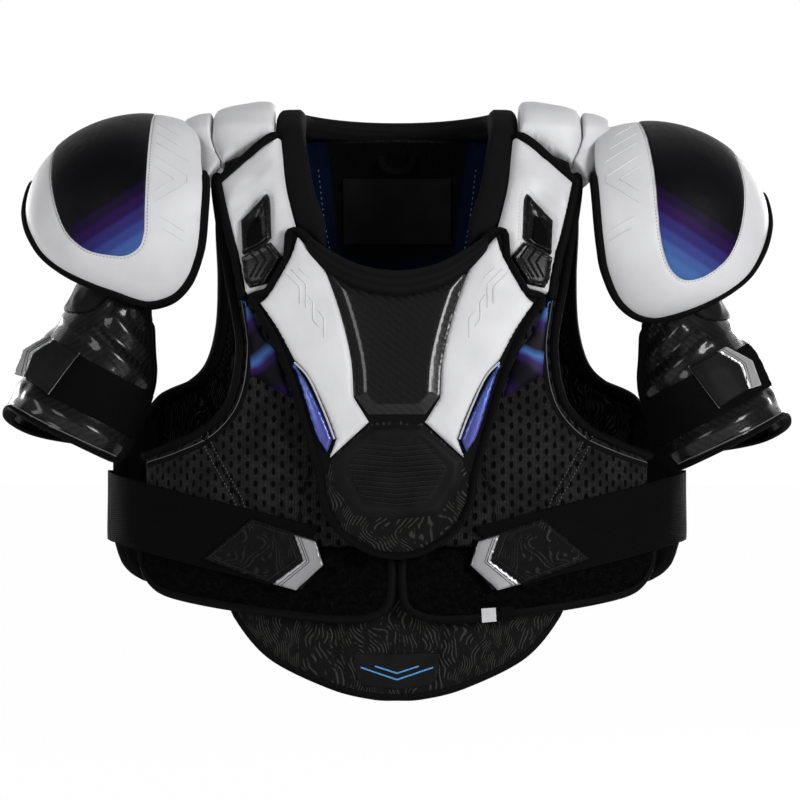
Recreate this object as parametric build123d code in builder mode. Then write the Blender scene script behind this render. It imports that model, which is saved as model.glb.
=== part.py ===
from build123d import *

import os

# Senior hockey shoulder pads, worn size, in millimetres. +Z is up, the chest faces -Y,
# and the origin lies between the shoulders, on the line that the pads rest on.
# Parts are named by the wearer's own right (-X) and left (+X).

sides = {"right": -1, "left": 1}

# The wearer's torso: height, half width and half depth of each level section
torso_sections = [
    (-460, 216, 106),
    (-260, 216, 106),
    (-210, 212, 104),
    (-160, 208, 98),
    (-110, 202, 88),
    (-60, 190, 70),
    (-30, 175, 52),
    (-12, 152, 36),
    (0, 96, 16),
    (3, 60, 8),
]
shoulder_break = -20  # sections above this height also rise with the layer's offset
thinnest = 1          # a section thinner than this is left out of an inner layer
reach = 220           # how far a front or back outline is carried through the layers
side_gap = 0.5        # half the seam between a front piece and a back piece

# Distances of each layer's two faces from the torso surface
liner_layer = (-4, -0.5)
foam_layer = (0, 10)
cover_layer = (10.5, 16.5)
trim_layer = (17, 19.5)
tab_layer = (17, 21.5)
extension_layer = (-10.5, -5)
patch_layer = (-4.7, -3.2)
collar_layer = (-4, 13)
strap_layer = (12.5, 15)
strap_tab_layer = (15.5, 18.5)
guard_foam_layer = (17, 23.5)
guard_edge_layer = (17, 23.5)
guard_plate_layer = (24, 27.5)
guard_insert_layer = (24, 26)
guard_roll_layer = (24, 31)
spine_layer = (10.5, 18)

# Shoulder caps: an ellipsoid about an axis across the shoulders
cap_centre = (200, -78)
cap_half_length = 99
cap_radius = 86
cap_shell_thickness = 4
cap_liner_thickness = 8
cap_binding_proud = 2
cap_insert_proud = 1.8
fit_gap = 0.5
arm_drop = {"right": 0, "left": 6}  # the left arm set hangs a little lower
arm_turn = {"right": 0, "left": -2}

# Biceps guards: elliptical wraps on an axis that leans outwards
guard_centre = (246, -204)
guard_lean = 20
guard_sections = [(46, 41, 46), (20, 51, 56), (-20, 51, 56), (-42, 56, 60)]
guard_wall = 3
guard_liner_wall = 8
guard_split = 40      # width of the open seam on the guard's inner side
arm_strap_width = 38
arm_strap_layer = (0.5, 2.5)
arm_strap_ends = (42, 3)  # outward end, and how far in front of the guard's axis it starts
arm_tab_layer = (3, 5.5)
arm_link_size = (24, 2.5, 14)
arm_link_spread = 29
arm_link_height = 47

# Outlines as seen from the front: x outwards from the centre line, then height.
# Each run of two points is a straight edge, and a longer run is a smooth curve.
armhole_front = [(196, -262), (148, -244), (125, -212), (122, -171), (130, -122), (142, -50)]
shoulder_end = [(142, -50), (149, -40), (153, -26), (164, 4)]
chest_outline = [
    [(96, 30), (97, -14), (91, -54), (83, -87)],
    [(83, -87), (58, -109)],
    [(58, -109), (30, -138), (4, -146)],
    [(4, -146), (4, -330)],
    [(4, -330), (196, -330)],
    [(196, -330), (196, -262)],
    armhole_front,
    shoulder_end,
    [(164, 4), (164, 30)],
    [(164, 30), (96, 30)],
]
chest_liner_outline = [
    [(92, -93), (60, -113)],
    [(60, -113), (30, -142), (6, -152)],
    [(6, -152), (6, -380)],
    [(6, -380), (190, -362)],
    [(190, -362), (190, -266)],
    [(190, -266), (142, -247), (120, -212), (117, -171), (124, -122), (130, -70)],
    [(130, -70), (98, -60)],
    [(98, -60), (92, -93)],
]
loop_panel_outline = [
    [(4, -331), (4, -372)],
    [(4, -372), (16, -385), (52, -388), (129, -380), (187, -368)],
    [(187, -368), (196, -361), (198, -331)],
    [(198, -331), (4, -331)],
]
clavicle_outline = [
    [(96, -11), (91, -52), (82, -86)],
    [(82, -86), (99, -134)],
    [(99, -134), (122, -134)],
    [(122, -134), (131, -100), (141, -49)],
    [(141, -49), (124, -34), (108, -19), (96, -11)],
]
arch_inner_outline = [
    [(97, -8), (97, 34)],
    [(97, 34), (145, 34)],
    [(145, 34), (146, -8), (143, -20), (138, -30)],
    [(138, -30), (124, -20), (109, -10), (97, -8)],
]
arch_outer_outline = [
    [(146.5, 34), (147.5, -8), (144.5, -20), (139.5, -31)],
    [(139.5, -31), (148, -38)],
    [(148, -38), (152, -30), (164, 4)],
    [(164, 4), (164, 34)],
    [(164, 34), (146.5, 34)],
]
collar_outline = [
    [(77, 24), (75, -4), (67, -50), (57, -85)],
    [(57, -85), (57, -106)],
    [(57, -106), (81, -86)],
    [(81, -86), (89, -54), (95, -14), (94, 24)],
    [(94, 24), (77, 24)],
]
strap_guide_outline = [
    [(124, -77), (105, -57)],
    [(105, -57), (100, -89)],
    [(100, -89), (122, -101)],
    [(122, -101), (124, -77)],
]
guide_slot_outline = [
    [(118, -86), (106, -79)],
    [(106, -79), (106, -84)],
    [(106, -84), (118, -91)],
    [(118, -91), (118, -86)],
]
sternum_tab_outline = [
    [(122, -108), (100, -96)],
    [(100, -96), (91, -109)],
    [(91, -109), (103, -129)],
    [(103, -129), (116, -132)],
    [(116, -132), (121, -126)],
    [(121, -126), (122, -108)],
]
sternum_outline = [
    [(0, -120), (21, -118), (40, -113), (58, -103), (68, -92)],
    [(68, -92), (77, -86), (86, -88)],
    [(86, -88), (87, -109)],
    [(87, -109), (101, -134)],
    [(101, -134), (116, -137)],
    [(116, -137), (96, -169), (81, -205), (67, -251), (59, -281)],
    [(59, -281), (57, -301), (45, -322), (21, -338), (0, -342)],
]
sternum_seam_outline = [
    [(0, -125), (21, -123), (42, -118), (60, -107), (71, -96)],
    [(71, -96), (77, -91), (81, -92)],
    [(81, -92), (82, -110)],
    [(82, -110), (98, -139)],
    [(98, -139), (106, -141)],
    [(106, -141), (91, -171), (76, -207), (62, -252), (54, -281)],
    [(54, -281), (52, -299), (41, -318), (20, -333), (0, -337)],
]
sternum_backing_outline = [
    [(0, -125.5), (21, -123.5), (42, -118.5), (60.4, -107.4), (71.4, -96.5)],
    [(71.4, -96.5), (77, -91.5), (80.6, -92.4)],
    [(80.6, -92.4), (81.6, -110.2)],
    [(81.6, -110.2), (97.8, -139.5)],
    [(97.8, -139.5), (105, -141.6)],
    [(105, -141.6), (90.4, -171.2), (75.4, -207.2), (61.4, -252.2), (53.4, -281)],
    [(53.4, -281), (51.4, -298.8), (40.6, -317.6), (19.8, -332.5), (0, -336.4)],
]
neckline_roll_outline = [
    [(0, -121), (21, -119), (40, -114), (58, -104)],
    [(58, -104), (63, -109)],
    [(63, -109), (44, -125), (26, -135), (0, -140)],
]
sternum_wing_outline = [
    [(78, -94), (61, -113), (55, -124), (44, -155), (36, -189), (34, -218)],
    [(34, -218), (22, -237)],
    [(22, -237), (50, -262)],
    [(50, -262), (46, -250)],
    [(46, -250), (55, -229), (68, -203), (80, -189)],
    [(80, -189), (92, -165), (105, -146)],
    [(105, -146), (97, -138), (83, -112), (78, -94)],
]
wing_insert_outline = [
    [(80, -192), (71, -205), (58, -231), (49.5, -250)],
    [(49.5, -250), (53, -259)],
    [(53, -259), (62, -244), (74, -206), (80, -192)],
]
sternum_plate_outline = [
    [(0, -142), (27, -137), (44, -127), (52, -121)],
    [(52, -121), (53, -125)],
    [(53, -125), (42, -157), (34, -190), (32, -217)],
    [(32, -217), (24, -229)],
    [(24, -229), (0, -229)],
]
lower_plate_outline = [
    [(0, -236), (20, -239)],
    [(20, -239), (45, -264)],
    [(45, -264), (51, -276)],
    [(51, -276), (49, -298), (38, -319), (18, -332), (0, -335)],
]
belly_strap_outline = [
    [(236, -272), (183, -288), (121, -303), (60, -318)],
    [(60, -318), (98, -364)],
    [(98, -364), (121, -357), (183, -342), (236, -327)],
    [(236, -327), (236, -272)],
]
belly_tab_outline = [
    [(113, -312), (62, -328)],
    [(62, -328), (58, -347)],
    [(58, -347), (74, -366)],
    [(74, -366), (96, -362)],
    [(96, -362), (150, -343)],
    [(150, -343), (113, -312)],
]
extension_outline = [
    [(0, -300), (100, -300)],
    [(100, -300), (129, -374)],
    [(129, -374), (125, -390), (98, -419), (52, -441), (20, -449), (0, -450)],
]
extension_patch_outline = [
    [(0, -421), (34, -421)],
    [(34, -421), (34, -428)],
    [(34, -428), (0, -440)],
]
back_outline = [
    [(0, -20), (96, -20)],
    [(96, -20), (96, 30)],
    [(96, 30), (164, 30)],
    [(164, 30), (164, 4)],
    [(164, 4), (152, -28), (145, -60)],
    [(145, -60), (142, -121), (147, -184), (186, -218)],
    [(186, -218), (188, -250)],
    [(188, -250), (204, -270), (240, -276)],
    [(240, -276), (240, -364)],
    [(240, -364), (225, -375)],
    [(225, -375), (0, -375)],
]
back_liner_outline = [
    [(0, -32), (70, -32)],
    [(70, -32), (128, -60)],
    [(128, -60), (138, -121), (142, -190), (192, -226)],
    [(192, -226), (192, -366)],
    [(192, -366), (0, -366)],
]
spine_guard_outline = [
    [(0, -44), (40, -52)],
    [(40, -52), (46, -120), (30, -200), (22, -246)],
    [(22, -246), (0, -252)],
]
back_wing_outline = [
    [(46, -54), (134, -56)],
    [(134, -56), (133, -121), (128, -176)],
    [(128, -176), (40, -214)],
    [(40, -214), (50, -130), (46, -54)],
]
lower_back_outline = [
    [(0, -262), (70, -256)],
    [(70, -256), (150, -270)],
    [(150, -270), (150, -356)],
    [(150, -356), (0, -364)],
]
strap_anchor_outline = [
    [(236, -276), (160, -280)],
    [(160, -280), (160, -330)],
    [(160, -330), (236, -327)],
    [(236, -327), (236, -276)],
]
cap_outline = [
    [(174, 30), (166, 3)],
    [(166, 3), (156, -26), (154, -62), (158, -112)],
    [(158, -112), (171, -135), (195, -144), (234, -133)],
    [(234, -133), (281, -107), (297, -66)],
    [(297, -66), (310, -20)],
    [(310, -20), (310, 30)],
    [(310, 30), (174, 30)],
]
cap_binding_outline = [
    [(153.5, -40), (153.4, -62), (157.3, -112.3)],
    [(157.3, -112.3), (170.6, -135.6), (195, -144.6), (234.3, -133.6)],
    [(234.3, -133.6), (281.4, -107.4), (297.6, -66)],
    [(297.6, -66), (304, -66)],
    [(304, -66), (287, -112), (237, -140)],
    [(237, -140), (195, -151), (167, -141), (151.5, -115)],
    [(151.5, -115), (147.5, -62), (147.5, -40)],
    [(147.5, -40), (153.5, -40)],
]
cap_insert_outline = [
    [(194, 30), (195, -88)],
    [(195, -88), (201, -103), (215, -107), (240, -104), (258, -92), (272, -62)],
    [(272, -62), (276, 0)],
    [(276, 0), (290, 30)],
    [(290, 30), (194, 30)],
]
biceps_tab_outline = [
    [(14, 19), (36, 19)],
    [(36, 19), (45, 4)],
    [(45, 4), (43, -14)],
    [(43, -14), (24, -19)],
    [(24, -19), (14, 19)],
]

# Collar behind the neck, and the small sewn pieces inside it
back_collar_outer = (94, 62)
back_collar_inner = (76, 44)
back_collar_height = 26
back_collar_bottom = -18
hang_loop_size = (30, 26, 2)
hang_loop_opening = (20, 16)
hang_loop_place = (42, -24)
neck_label_outline = [(-44, -40), (44, -40), (44, -92), (-44, -92)]
label_layer = (-5.5, -4.5)

os.makedirs("parts", exist_ok=True)


def save(piece, name):
    piece.part.label = name
    export_step(piece.part, f"parts/{name}.step")


def torso_solid(offset, mode=Mode.ADD):
    levels = []
    for height, half_width, half_depth in torso_sections:
        lift = offset if height > shoulder_break else 0
        if half_depth + offset > thinnest:
            with BuildSketch(Plane.XY.offset(height + lift)) as level:
                Ellipse(half_width + offset, half_depth + offset)
            levels.append(level.sketch)
    loft(levels, ruled=True, mode=mode)


def torso_layer(distances):
    """The shell between two distances from the torso surface."""
    inner, outer = distances
    with BuildPart() as shell:
        torso_solid(outer)
        torso_solid(inner, mode=Mode.SUBTRACT)
    return shell.part


def draw(runs, side=1, origin=(0, 0)):
    """Draws an outline's runs, mirrored for the right side and measured from origin."""
    for run in runs:
        points = [(side * (x - origin[0]), z - origin[1]) for x, z in run]
        if len(points) > 2:
            Spline(*points)
        else:
            Line(*points)


def draw_both_sides(runs):
    """Draws a half outline that starts and ends on the centre line, and its mirror image."""
    draw(runs)
    draw(runs, side=-1)


front_plane = Plane.XZ.offset(side_gap)
back_plane = Plane.XZ.offset(-side_gap)

foam_shell = torso_layer(foam_layer)
cover_shell = torso_layer(cover_layer)
guard_plate_shell = torso_layer(guard_plate_layer)

# Paired pieces of the vest, each an outline carried through its layer of the torso
front_pieces = {
    "chest_panel": (foam_shell, chest_outline),
    "loop_panel": (foam_shell, loop_panel_outline),
    "chest_liner": (torso_layer(liner_layer), chest_liner_outline),
    "clavicle_panel": (cover_shell, clavicle_outline),
    "collar_strip": (torso_layer(collar_layer), collar_outline),
    "sternum_tab": (torso_layer(tab_layer), sternum_tab_outline),
    "sternum_wing": (guard_plate_shell, sternum_wing_outline),
    "wing_insert": (torso_layer(guard_insert_layer), wing_insert_outline),
    "belly_strap": (torso_layer(strap_layer), belly_strap_outline),
    "belly_tab": (torso_layer(strap_tab_layer), belly_tab_outline),
}
for side_name, side in sides.items():
    for piece_name, (shell, runs) in front_pieces.items():
        with BuildPart() as front_piece:
            add(shell)
            with BuildSketch(front_plane):
                with BuildLine():
                    draw(runs, side)
                make_face()
            extrude(amount=reach, mode=Mode.INTERSECT)
        save(front_piece, f"{side_name}_{piece_name}")

    # Shoulder arches run over the top from front to back
    for piece_name, runs in {
        "arch_pad_inner": arch_inner_outline,
        "arch_pad_outer": arch_outer_outline,
    }.items():
        with BuildPart() as arch_pad:
            add(cover_shell)
            with BuildSketch(Plane.XZ):
                with BuildLine():
                    draw(runs, side)
                make_face()
            extrude(amount=reach, both=True, mode=Mode.INTERSECT)
        save(arch_pad, f"{side_name}_{piece_name}")

# Strap guides: a frame on each clavicle panel with the slot that the strap runs through
trim_shell = torso_layer(trim_layer)
for side_name, side in sides.items():
    with BuildPart() as strap_guide:
        add(trim_shell)
        with BuildSketch(front_plane):
            with BuildLine():
                draw(strap_guide_outline, side)
            make_face()
            with BuildLine():
                draw(guide_slot_outline, side)
            make_face(mode=Mode.SUBTRACT)
        extrude(amount=reach, mode=Mode.INTERSECT)
    save(strap_guide, f"{side_name}_strap_guide")

# Back pieces that come in pairs: one node each, with a solid on either side
back_pairs = {
    "back_wings": (cover_shell, back_wing_outline),
    "strap_anchors": (torso_layer(strap_layer), strap_anchor_outline),
}
for piece_name, (shell, runs) in back_pairs.items():
    with BuildPart() as back_pair:
        add(shell)
        with BuildSketch(back_plane):
            for side in sides.values():
                with BuildLine():
                    draw(runs, side)
                make_face()
        extrude(amount=-reach, mode=Mode.INTERSECT)
    save(back_pair, piece_name)

# Single pieces on the centre line: shell, half outline, plane, and which way it is carried
centre_pieces = {
    "back_panel": (foam_shell, back_outline, back_plane, -reach),
    "back_liner": (torso_layer(liner_layer), back_liner_outline, back_plane, -reach),
    "spine_guard": (torso_layer(spine_layer), spine_guard_outline, back_plane, -reach),
    "lower_back_pad": (cover_shell, lower_back_outline, back_plane, -reach),
    "neckline_roll": (torso_layer(guard_roll_layer), neckline_roll_outline, front_plane, reach),
    "sternum_plate": (guard_plate_shell, sternum_plate_outline, front_plane, reach),
    "lower_plate": (guard_plate_shell, lower_plate_outline, front_plane, reach),
    "extension_pad": (torso_layer(extension_layer), extension_outline, front_plane, reach),
    "extension_patch": (torso_layer(patch_layer), extension_patch_outline, front_plane, reach),
}
for piece_name, (shell, runs, plane, amount) in centre_pieces.items():
    with BuildPart() as centre_piece:
        add(shell)
        with BuildSketch(plane):
            with BuildLine():
                draw_both_sides(runs)
            make_face()
        extrude(amount=amount, mode=Mode.INTERSECT)
    save(centre_piece, piece_name)

# Sternum guard: foam backing with an edge binding round it
with BuildPart() as sternum_backing:
    add(torso_layer(guard_foam_layer))
    with BuildSketch(front_plane):
        with BuildLine():
            draw_both_sides(sternum_backing_outline)
        make_face()
    extrude(amount=reach, mode=Mode.INTERSECT)
save(sternum_backing, "sternum_backing")

with BuildPart() as sternum_binding:
    add(torso_layer(guard_edge_layer))
    with BuildSketch(front_plane):
        with BuildLine():
            draw_both_sides(sternum_outline)
        make_face()
        with BuildLine():
            draw_both_sides(sternum_seam_outline)
        make_face(mode=Mode.SUBTRACT)
    extrude(amount=reach, mode=Mode.INTERSECT)
save(sternum_binding, "sternum_binding")

# Collar roll behind the neck
with BuildPart() as back_collar:
    with BuildSketch(Plane.XY.offset(back_collar_bottom)):
        Ellipse(*back_collar_outer)
        Ellipse(*back_collar_inner, mode=Mode.SUBTRACT)
        with Locations((0, -reach / 2 + side_gap)):
            Rectangle(reach, reach, mode=Mode.SUBTRACT)
    extrude(amount=back_collar_height)
save(back_collar, "back_collar")

loop_depth, loop_height = hang_loop_place
with BuildPart() as hang_loop:
    with BuildSketch(Plane.XZ.offset(-loop_depth)):
        with Locations((0, loop_height)):
            SlotOverall(hang_loop_size[0], hang_loop_size[1])
            SlotOverall(hang_loop_opening[0], hang_loop_opening[1], mode=Mode.SUBTRACT)
    extrude(amount=hang_loop_size[2])
save(hang_loop, "hang_loop")

with BuildPart() as neck_label:
    add(torso_layer(label_layer))
    with BuildSketch(back_plane):
        with BuildLine():
            Polyline(*neck_label_outline, close=True)
        make_face()
    extrude(amount=-reach, mode=Mode.INTERSECT)
save(neck_label, "neck_label")

# Arm sets: a cap over the shoulder and a biceps guard below it
for side_name, side in sides.items():
    drop = arm_drop[side_name]
    cap_plane = Plane(
        origin=(side * cap_centre[0], 0, cap_centre[1] - drop),
        x_dir=(1, 0, 0),
        z_dir=(0, -1, 0),
    ).rotated((0, 0, arm_turn[side_name]))

    def cap_solid(offset, mode=Mode.ADD):
        """Half an ellipse spun about the cap's long axis."""
        with BuildSketch(cap_plane) as half_ellipse:
            Ellipse(cap_half_length + offset, cap_radius + offset)
            with Locations((0, -reach / 2)):
                Rectangle(2 * reach, reach, mode=Mode.SUBTRACT)
        revolve(half_ellipse.sketch, axis=Axis(cap_plane.origin, cap_plane.x_dir), mode=mode)

    cap_layers = {
        "cap_shell": (-cap_shell_thickness, 0, cap_outline),
        "cap_liner": (
            -cap_shell_thickness - fit_gap - cap_liner_thickness,
            -cap_shell_thickness - fit_gap,
            cap_outline,
        ),
        "cap_insert": (fit_gap, cap_insert_proud, cap_insert_outline),
    }
    for piece_name, (inner, outer, runs) in cap_layers.items():
        with BuildPart() as cap_piece:
            cap_solid(outer)
            cap_solid(inner, mode=Mode.SUBTRACT)
            with BuildSketch(cap_plane):
                with BuildLine():
                    draw(runs, side, cap_centre)
                make_face()
            extrude(amount=reach, both=True, mode=Mode.INTERSECT)
        save(cap_piece, f"{side_name}_{piece_name}")

    with BuildPart() as cap_binding:
        cap_solid(cap_binding_proud)
        cap_solid(-cap_shell_thickness - fit_gap - cap_liner_thickness, mode=Mode.SUBTRACT)
        with BuildSketch(cap_plane):
            with BuildLine():
                draw(cap_binding_outline, side, cap_centre)
            make_face()
        extrude(amount=reach, both=True, mode=Mode.INTERSECT)
    save(cap_binding, f"{side_name}_cap_binding")

    guard_plane = Plane(
        origin=(side * guard_centre[0], 0, guard_centre[1] - drop),
        x_dir=(1, 0, 0),
        z_dir=(0, 0, 1),
    ).rotated((0, -side * guard_lean, 0))
    guard_front = Plane(guard_plane.origin, x_dir=guard_plane.x_dir, z_dir=(0, -1, 0))

    def guard_solid(offset, mode=Mode.ADD):
        levels = []
        for height, half_width, half_depth in guard_sections:
            with BuildSketch(guard_plane.offset(height)) as level:
                Ellipse(half_width + offset, half_depth + offset)
            levels.append(level.sketch)
        loft(levels, ruled=True, mode=mode)

    def cut_seam():
        """Opens the wrap along its inner side."""
        with BuildSketch(guard_plane) as seam:
            with Locations((-side * reach / 2, 0)):
                Rectangle(reach, guard_split)
        extrude(seam.sketch, amount=reach, both=True, mode=Mode.SUBTRACT)

    with BuildPart() as biceps_shell:
        guard_solid(0)
        guard_solid(-guard_wall, mode=Mode.SUBTRACT)
        cut_seam()
    save(biceps_shell, f"{side_name}_biceps_shell")

    with BuildPart() as biceps_liner:
        guard_solid(-guard_wall - fit_gap)
        guard_solid(-guard_wall - fit_gap - guard_liner_wall, mode=Mode.SUBTRACT)
        cut_seam()
    save(biceps_liner, f"{side_name}_biceps_liner")

    guard_width, guard_depth = guard_sections[1][1:]

    def guard_band(distances):
        """A level band round the guard, between two distances from its shell."""
        inner, outer = distances
        outward_end, start = arm_strap_ends
        with BuildSketch(guard_plane) as band:
            Ellipse(guard_width + outer, guard_depth + outer)
            Ellipse(guard_width + inner, guard_depth + inner, mode=Mode.SUBTRACT)
            with Locations((0, reach / 2 - start)):
                Rectangle(reach, reach, mode=Mode.SUBTRACT)
            with Locations((side * (outward_end + reach / 2), 0)):
                Rectangle(reach, 2 * reach, mode=Mode.SUBTRACT)
        extrude(band.sketch, amount=arm_strap_width / 2, both=True)

    with BuildPart() as biceps_strap:
        guard_band(arm_strap_layer)
    save(biceps_strap, f"{side_name}_biceps_strap")

    with BuildPart() as biceps_tab:
        guard_band(arm_tab_layer)
        with BuildSketch(guard_front):
            with BuildLine():
                draw(biceps_tab_outline, side)
            make_face()
        extrude(amount=reach, mode=Mode.INTERSECT)
    save(biceps_tab, f"{side_name}_biceps_tab")

    with BuildPart() as arm_link:
        with BuildSketch(guard_plane.offset(arm_link_height - arm_link_size[2] / 2)):
            with Locations((0, -arm_link_spread), (0, arm_link_spread)):
                Rectangle(arm_link_size[0], arm_link_size[1])
        extrude(amount=arm_link_size[2])
    save(arm_link, f"{side_name}_arm_link")
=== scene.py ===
from functools import partialmethod
from math import acos, asin, ceil, cos, exp, floor, pi, radians, sin, sqrt

import bmesh
import bpy
from mathutils import Matrix, Vector, noise
from mathutils.geometry import interpolate_bezier
from mathutils.kdtree import KDTree


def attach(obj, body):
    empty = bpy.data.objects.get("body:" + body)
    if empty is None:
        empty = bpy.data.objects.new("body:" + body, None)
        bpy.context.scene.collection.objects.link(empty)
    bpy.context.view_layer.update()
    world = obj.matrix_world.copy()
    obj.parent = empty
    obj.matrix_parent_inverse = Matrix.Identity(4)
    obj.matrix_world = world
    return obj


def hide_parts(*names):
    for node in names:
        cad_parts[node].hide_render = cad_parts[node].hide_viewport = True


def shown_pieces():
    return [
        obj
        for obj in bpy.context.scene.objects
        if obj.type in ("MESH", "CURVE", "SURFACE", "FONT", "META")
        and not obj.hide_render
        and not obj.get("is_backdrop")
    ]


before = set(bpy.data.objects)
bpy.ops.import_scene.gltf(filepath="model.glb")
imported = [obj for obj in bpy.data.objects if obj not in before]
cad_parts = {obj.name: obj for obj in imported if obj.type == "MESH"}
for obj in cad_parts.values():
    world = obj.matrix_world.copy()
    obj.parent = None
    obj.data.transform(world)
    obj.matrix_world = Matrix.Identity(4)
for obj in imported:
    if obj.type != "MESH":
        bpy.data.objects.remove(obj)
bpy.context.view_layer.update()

mm = 0.001               # everything below is in millimetres until a piece is finished


class Wire:
    # an output socket of a material; arithmetic on it adds Math nodes
    def __init__(self, finish, socket):
        self.finish = finish
        self.socket = socket

    def maths(self, operation, *others):
        return self.finish.node("ShaderNodeMath", {"operation": operation}, [self, *others])

    def __rsub__(self, other):
        return self.finish.node("ShaderNodeMath", {"operation": "SUBTRACT"}, [other, self])

    def clipped(self, low, high):
        # 0 at low and 1 at high, with a soft start and end
        return self.finish.node(
            "ShaderNodeMapRange", {"interpolation_type": "SMOOTHSTEP"},
            {"Value": self, "From Min": low, "From Max": high},
        )


for name, operation in {
    "__add__": "ADD", "__radd__": "ADD", "__sub__": "SUBTRACT", "__mul__": "MULTIPLY", "__rmul__": "MULTIPLY",
    "__truediv__": "DIVIDE", "__mod__": "FLOORED_MODULO", "__lt__": "LESS_THAN", "__gt__": "GREATER_THAN",
    "__abs__": "ABSOLUTE", "sine": "SINE", "smaller": "MINIMUM", "larger": "MAXIMUM", "whole": "FLOOR",
}.items():
    setattr(Wire, name, partialmethod(Wire.maths, operation))


class Nodes:
    # a node tree in the making
    def __init__(self, owner):
        owner.use_nodes = True
        self.tree = owner.node_tree

    def feed(self, socket, value):
        if isinstance(value, Wire):
            self.tree.links.new(value.socket, socket)
        elif isinstance(value, tuple) and len(value) == 3 and socket.type == "RGBA":
            socket.default_value = (*value, 1)
        else:
            socket.default_value = value

    def node(self, kind, settings=None, inputs=(), output=0):
        made = self.tree.nodes.new(kind)
        for key, value in (settings or {}).items():
            if key == "stops":
                for i, (place, colour) in enumerate(value):
                    stop = made.color_ramp.elements[i] if i < 2 else made.color_ramp.elements.new(place)
                    stop.position, stop.color = place, (*colour, 1)
            else:
                setattr(made, key, value)
        pairs = inputs.items() if isinstance(inputs, dict) else enumerate(inputs)
        for key, value in pairs:
            self.feed(made.inputs[key], value)
        return Wire(self, made.outputs[output])


class Finish(Nodes):
    # a material in the making
    def __init__(self, name, **constants):
        self.material = bpy.data.materials.new(name)
        super().__init__(self.material)
        self.shader = self.tree.nodes["Principled BSDF"]
        self.set(**constants)

    def set(self, **values):
        # socket names are written with _ for a space
        for name, value in values.items():
            self.feed(self.shader.inputs[name.replace("_", " ")], value)
        return self.material

    def mix(self, factor, first, second):
        return self.node("ShaderNodeMix", {"data_type": "RGBA"}, {0: factor, 6: first, 7: second}, 2)

    def object(self):
        return self.node("ShaderNodeTexCoord", output="Object")

    def across(self):
        # the piece's own flat pattern, in millimetres: along and across
        return self.parts(self.node("ShaderNodeUVMap", {"uv_map": "flat"}))

    def place(self):
        # place in the pads' own frame, in millimetres
        return self.parts(self.object())

    def parts(self, vector):
        scaled = self.node("ShaderNodeVectorMath", {"operation": "SCALE"}, {0: vector, "Scale": 1 / mm})
        split = self.tree.nodes.new("ShaderNodeSeparateXYZ")
        self.tree.links.new(scaled.socket, split.inputs[0])
        return [Wire(self, output) for output in split.outputs]

    def join(self, x, y, z=0.0):
        return self.node("ShaderNodeCombineXYZ", {}, [x, y, z])

    def noise(self, size, detail=2.0, roughness=0.5, vector=None):
        # size is a blotch's size in millimetres
        scale = 1 / mm / size if vector is None else 1 / size
        return self.node("ShaderNodeTexNoise", {}, {
            "Vector": vector or self.object(), "Scale": scale, "Detail": detail, "Roughness": roughness,
        })

    def cells(self, size):
        return self.node("ShaderNodeTexVoronoi", {}, {"Vector": self.object(), "Scale": 1 / mm / size})

    def bump(self, height, depth, strength=1.0):
        # depth in millimetres
        return self.node(
            "ShaderNodeBump", {}, {"Height": height, "Distance": depth * mm, "Strength": strength},
        )


# camera, lights and floor
studio = {
    "cameraPlace": (0.0024, -3.2, -0.22),
    "lens": 180,
    "farthestSeen": 60,
    "backdropFrom": 0.35,  # directions with more y than this meet the backdrop
    "floorHeight": -0.72,
    "floorSize": 40,
    "floorGlow": 0.985,
    "worldLight": 0.10,
    # name: place, aimed at, width, height, watts
    "lamps": {
        "keyLamp": ((2.1, -2.3, 0.55), (0, 0, -0.2), 0.9, 1.2, 66),
        "fillLamp": ((-1.5, -2.5, 0.5), (0, 0, -0.2), 1.1, 1.1, 20),
        "leftLamp": ((-2.4, -0.5, 0.1), (0, 0, -0.2), 0.4, 1.5, 9),
        "lowLamp": ((0.2, -2.9, -1.0), (0, 0, -0.25), 1.8, 0.5, 9),
        "topLamp": ((0.3, 0.3, 2.0), (0, 0, -0.1), 1.6, 0.9, 8),
        "backLamp": ((1.5, 2.6, 0.1), (0, 0, -0.2), 1.1, 1.3, 46),
        "backFillLamp": ((-1.9, 2.3, 0.0), (0, 0, -0.2), 1.1, 1.3, 34),
    },
}


def setStudio():
    scene = bpy.context.scene
    scene.view_settings.view_transform = "Standard"
    camera = bpy.data.objects.new("camera", bpy.data.cameras.new("camera"))
    camera.data.lens = studio["lens"]
    camera.data.clip_end = studio["farthestSeen"]
    camera.location = studio["cameraPlace"]
    camera.rotation_euler = (pi / 2, 0, 0)
    scene.collection.objects.link(camera)
    scene.camera = camera
    for name, (place, target, width, height, watts) in studio["lamps"].items():
        lamp = bpy.data.lights.new(name, "AREA")
        lamp.shape = "RECTANGLE"
        lamp.size, lamp.size_y, lamp.energy = width, height, watts
        holder = bpy.data.objects.new(name, lamp)
        holder.location = place
        aim = Vector(target) - Vector(place)
        holder.rotation_euler = aim.to_track_quat("-Z", "Y").to_euler()
        scene.collection.objects.link(holder)
    # the world lights the pads softly; the backdrop behind them is white, also in what gloss and metal show
    scene.world = bpy.data.worlds.new("studioWorld")
    sky = Nodes(scene.world)

    def ray(kind):
        return sky.node("ShaderNodeLightPath", output=kind)

    direction = sky.node("ShaderNodeTexCoord", output="Generated")
    behind = sky.node("ShaderNodeSeparateXYZ", {}, [direction], "Y") > studio["backdropFrom"]
    seen = ray("Is Camera Ray").larger(ray("Is Transmission Ray")).larger(ray("Is Glossy Ray") * behind)
    background = sky.tree.nodes["Background"]
    sky.feed(background.inputs["Color"], (1, 1, 1))
    sky.feed(background.inputs["Strength"], sky.node(
        "ShaderNodeMapRange", {}, {"Value": seen, "To Min": studio["worldLight"], "To Max": 1.0},
    ))


setStudio()
print("studio set")


def toned(colour, factor, lift=0.0):
    return tuple(part * factor + lift for part in colour)


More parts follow.
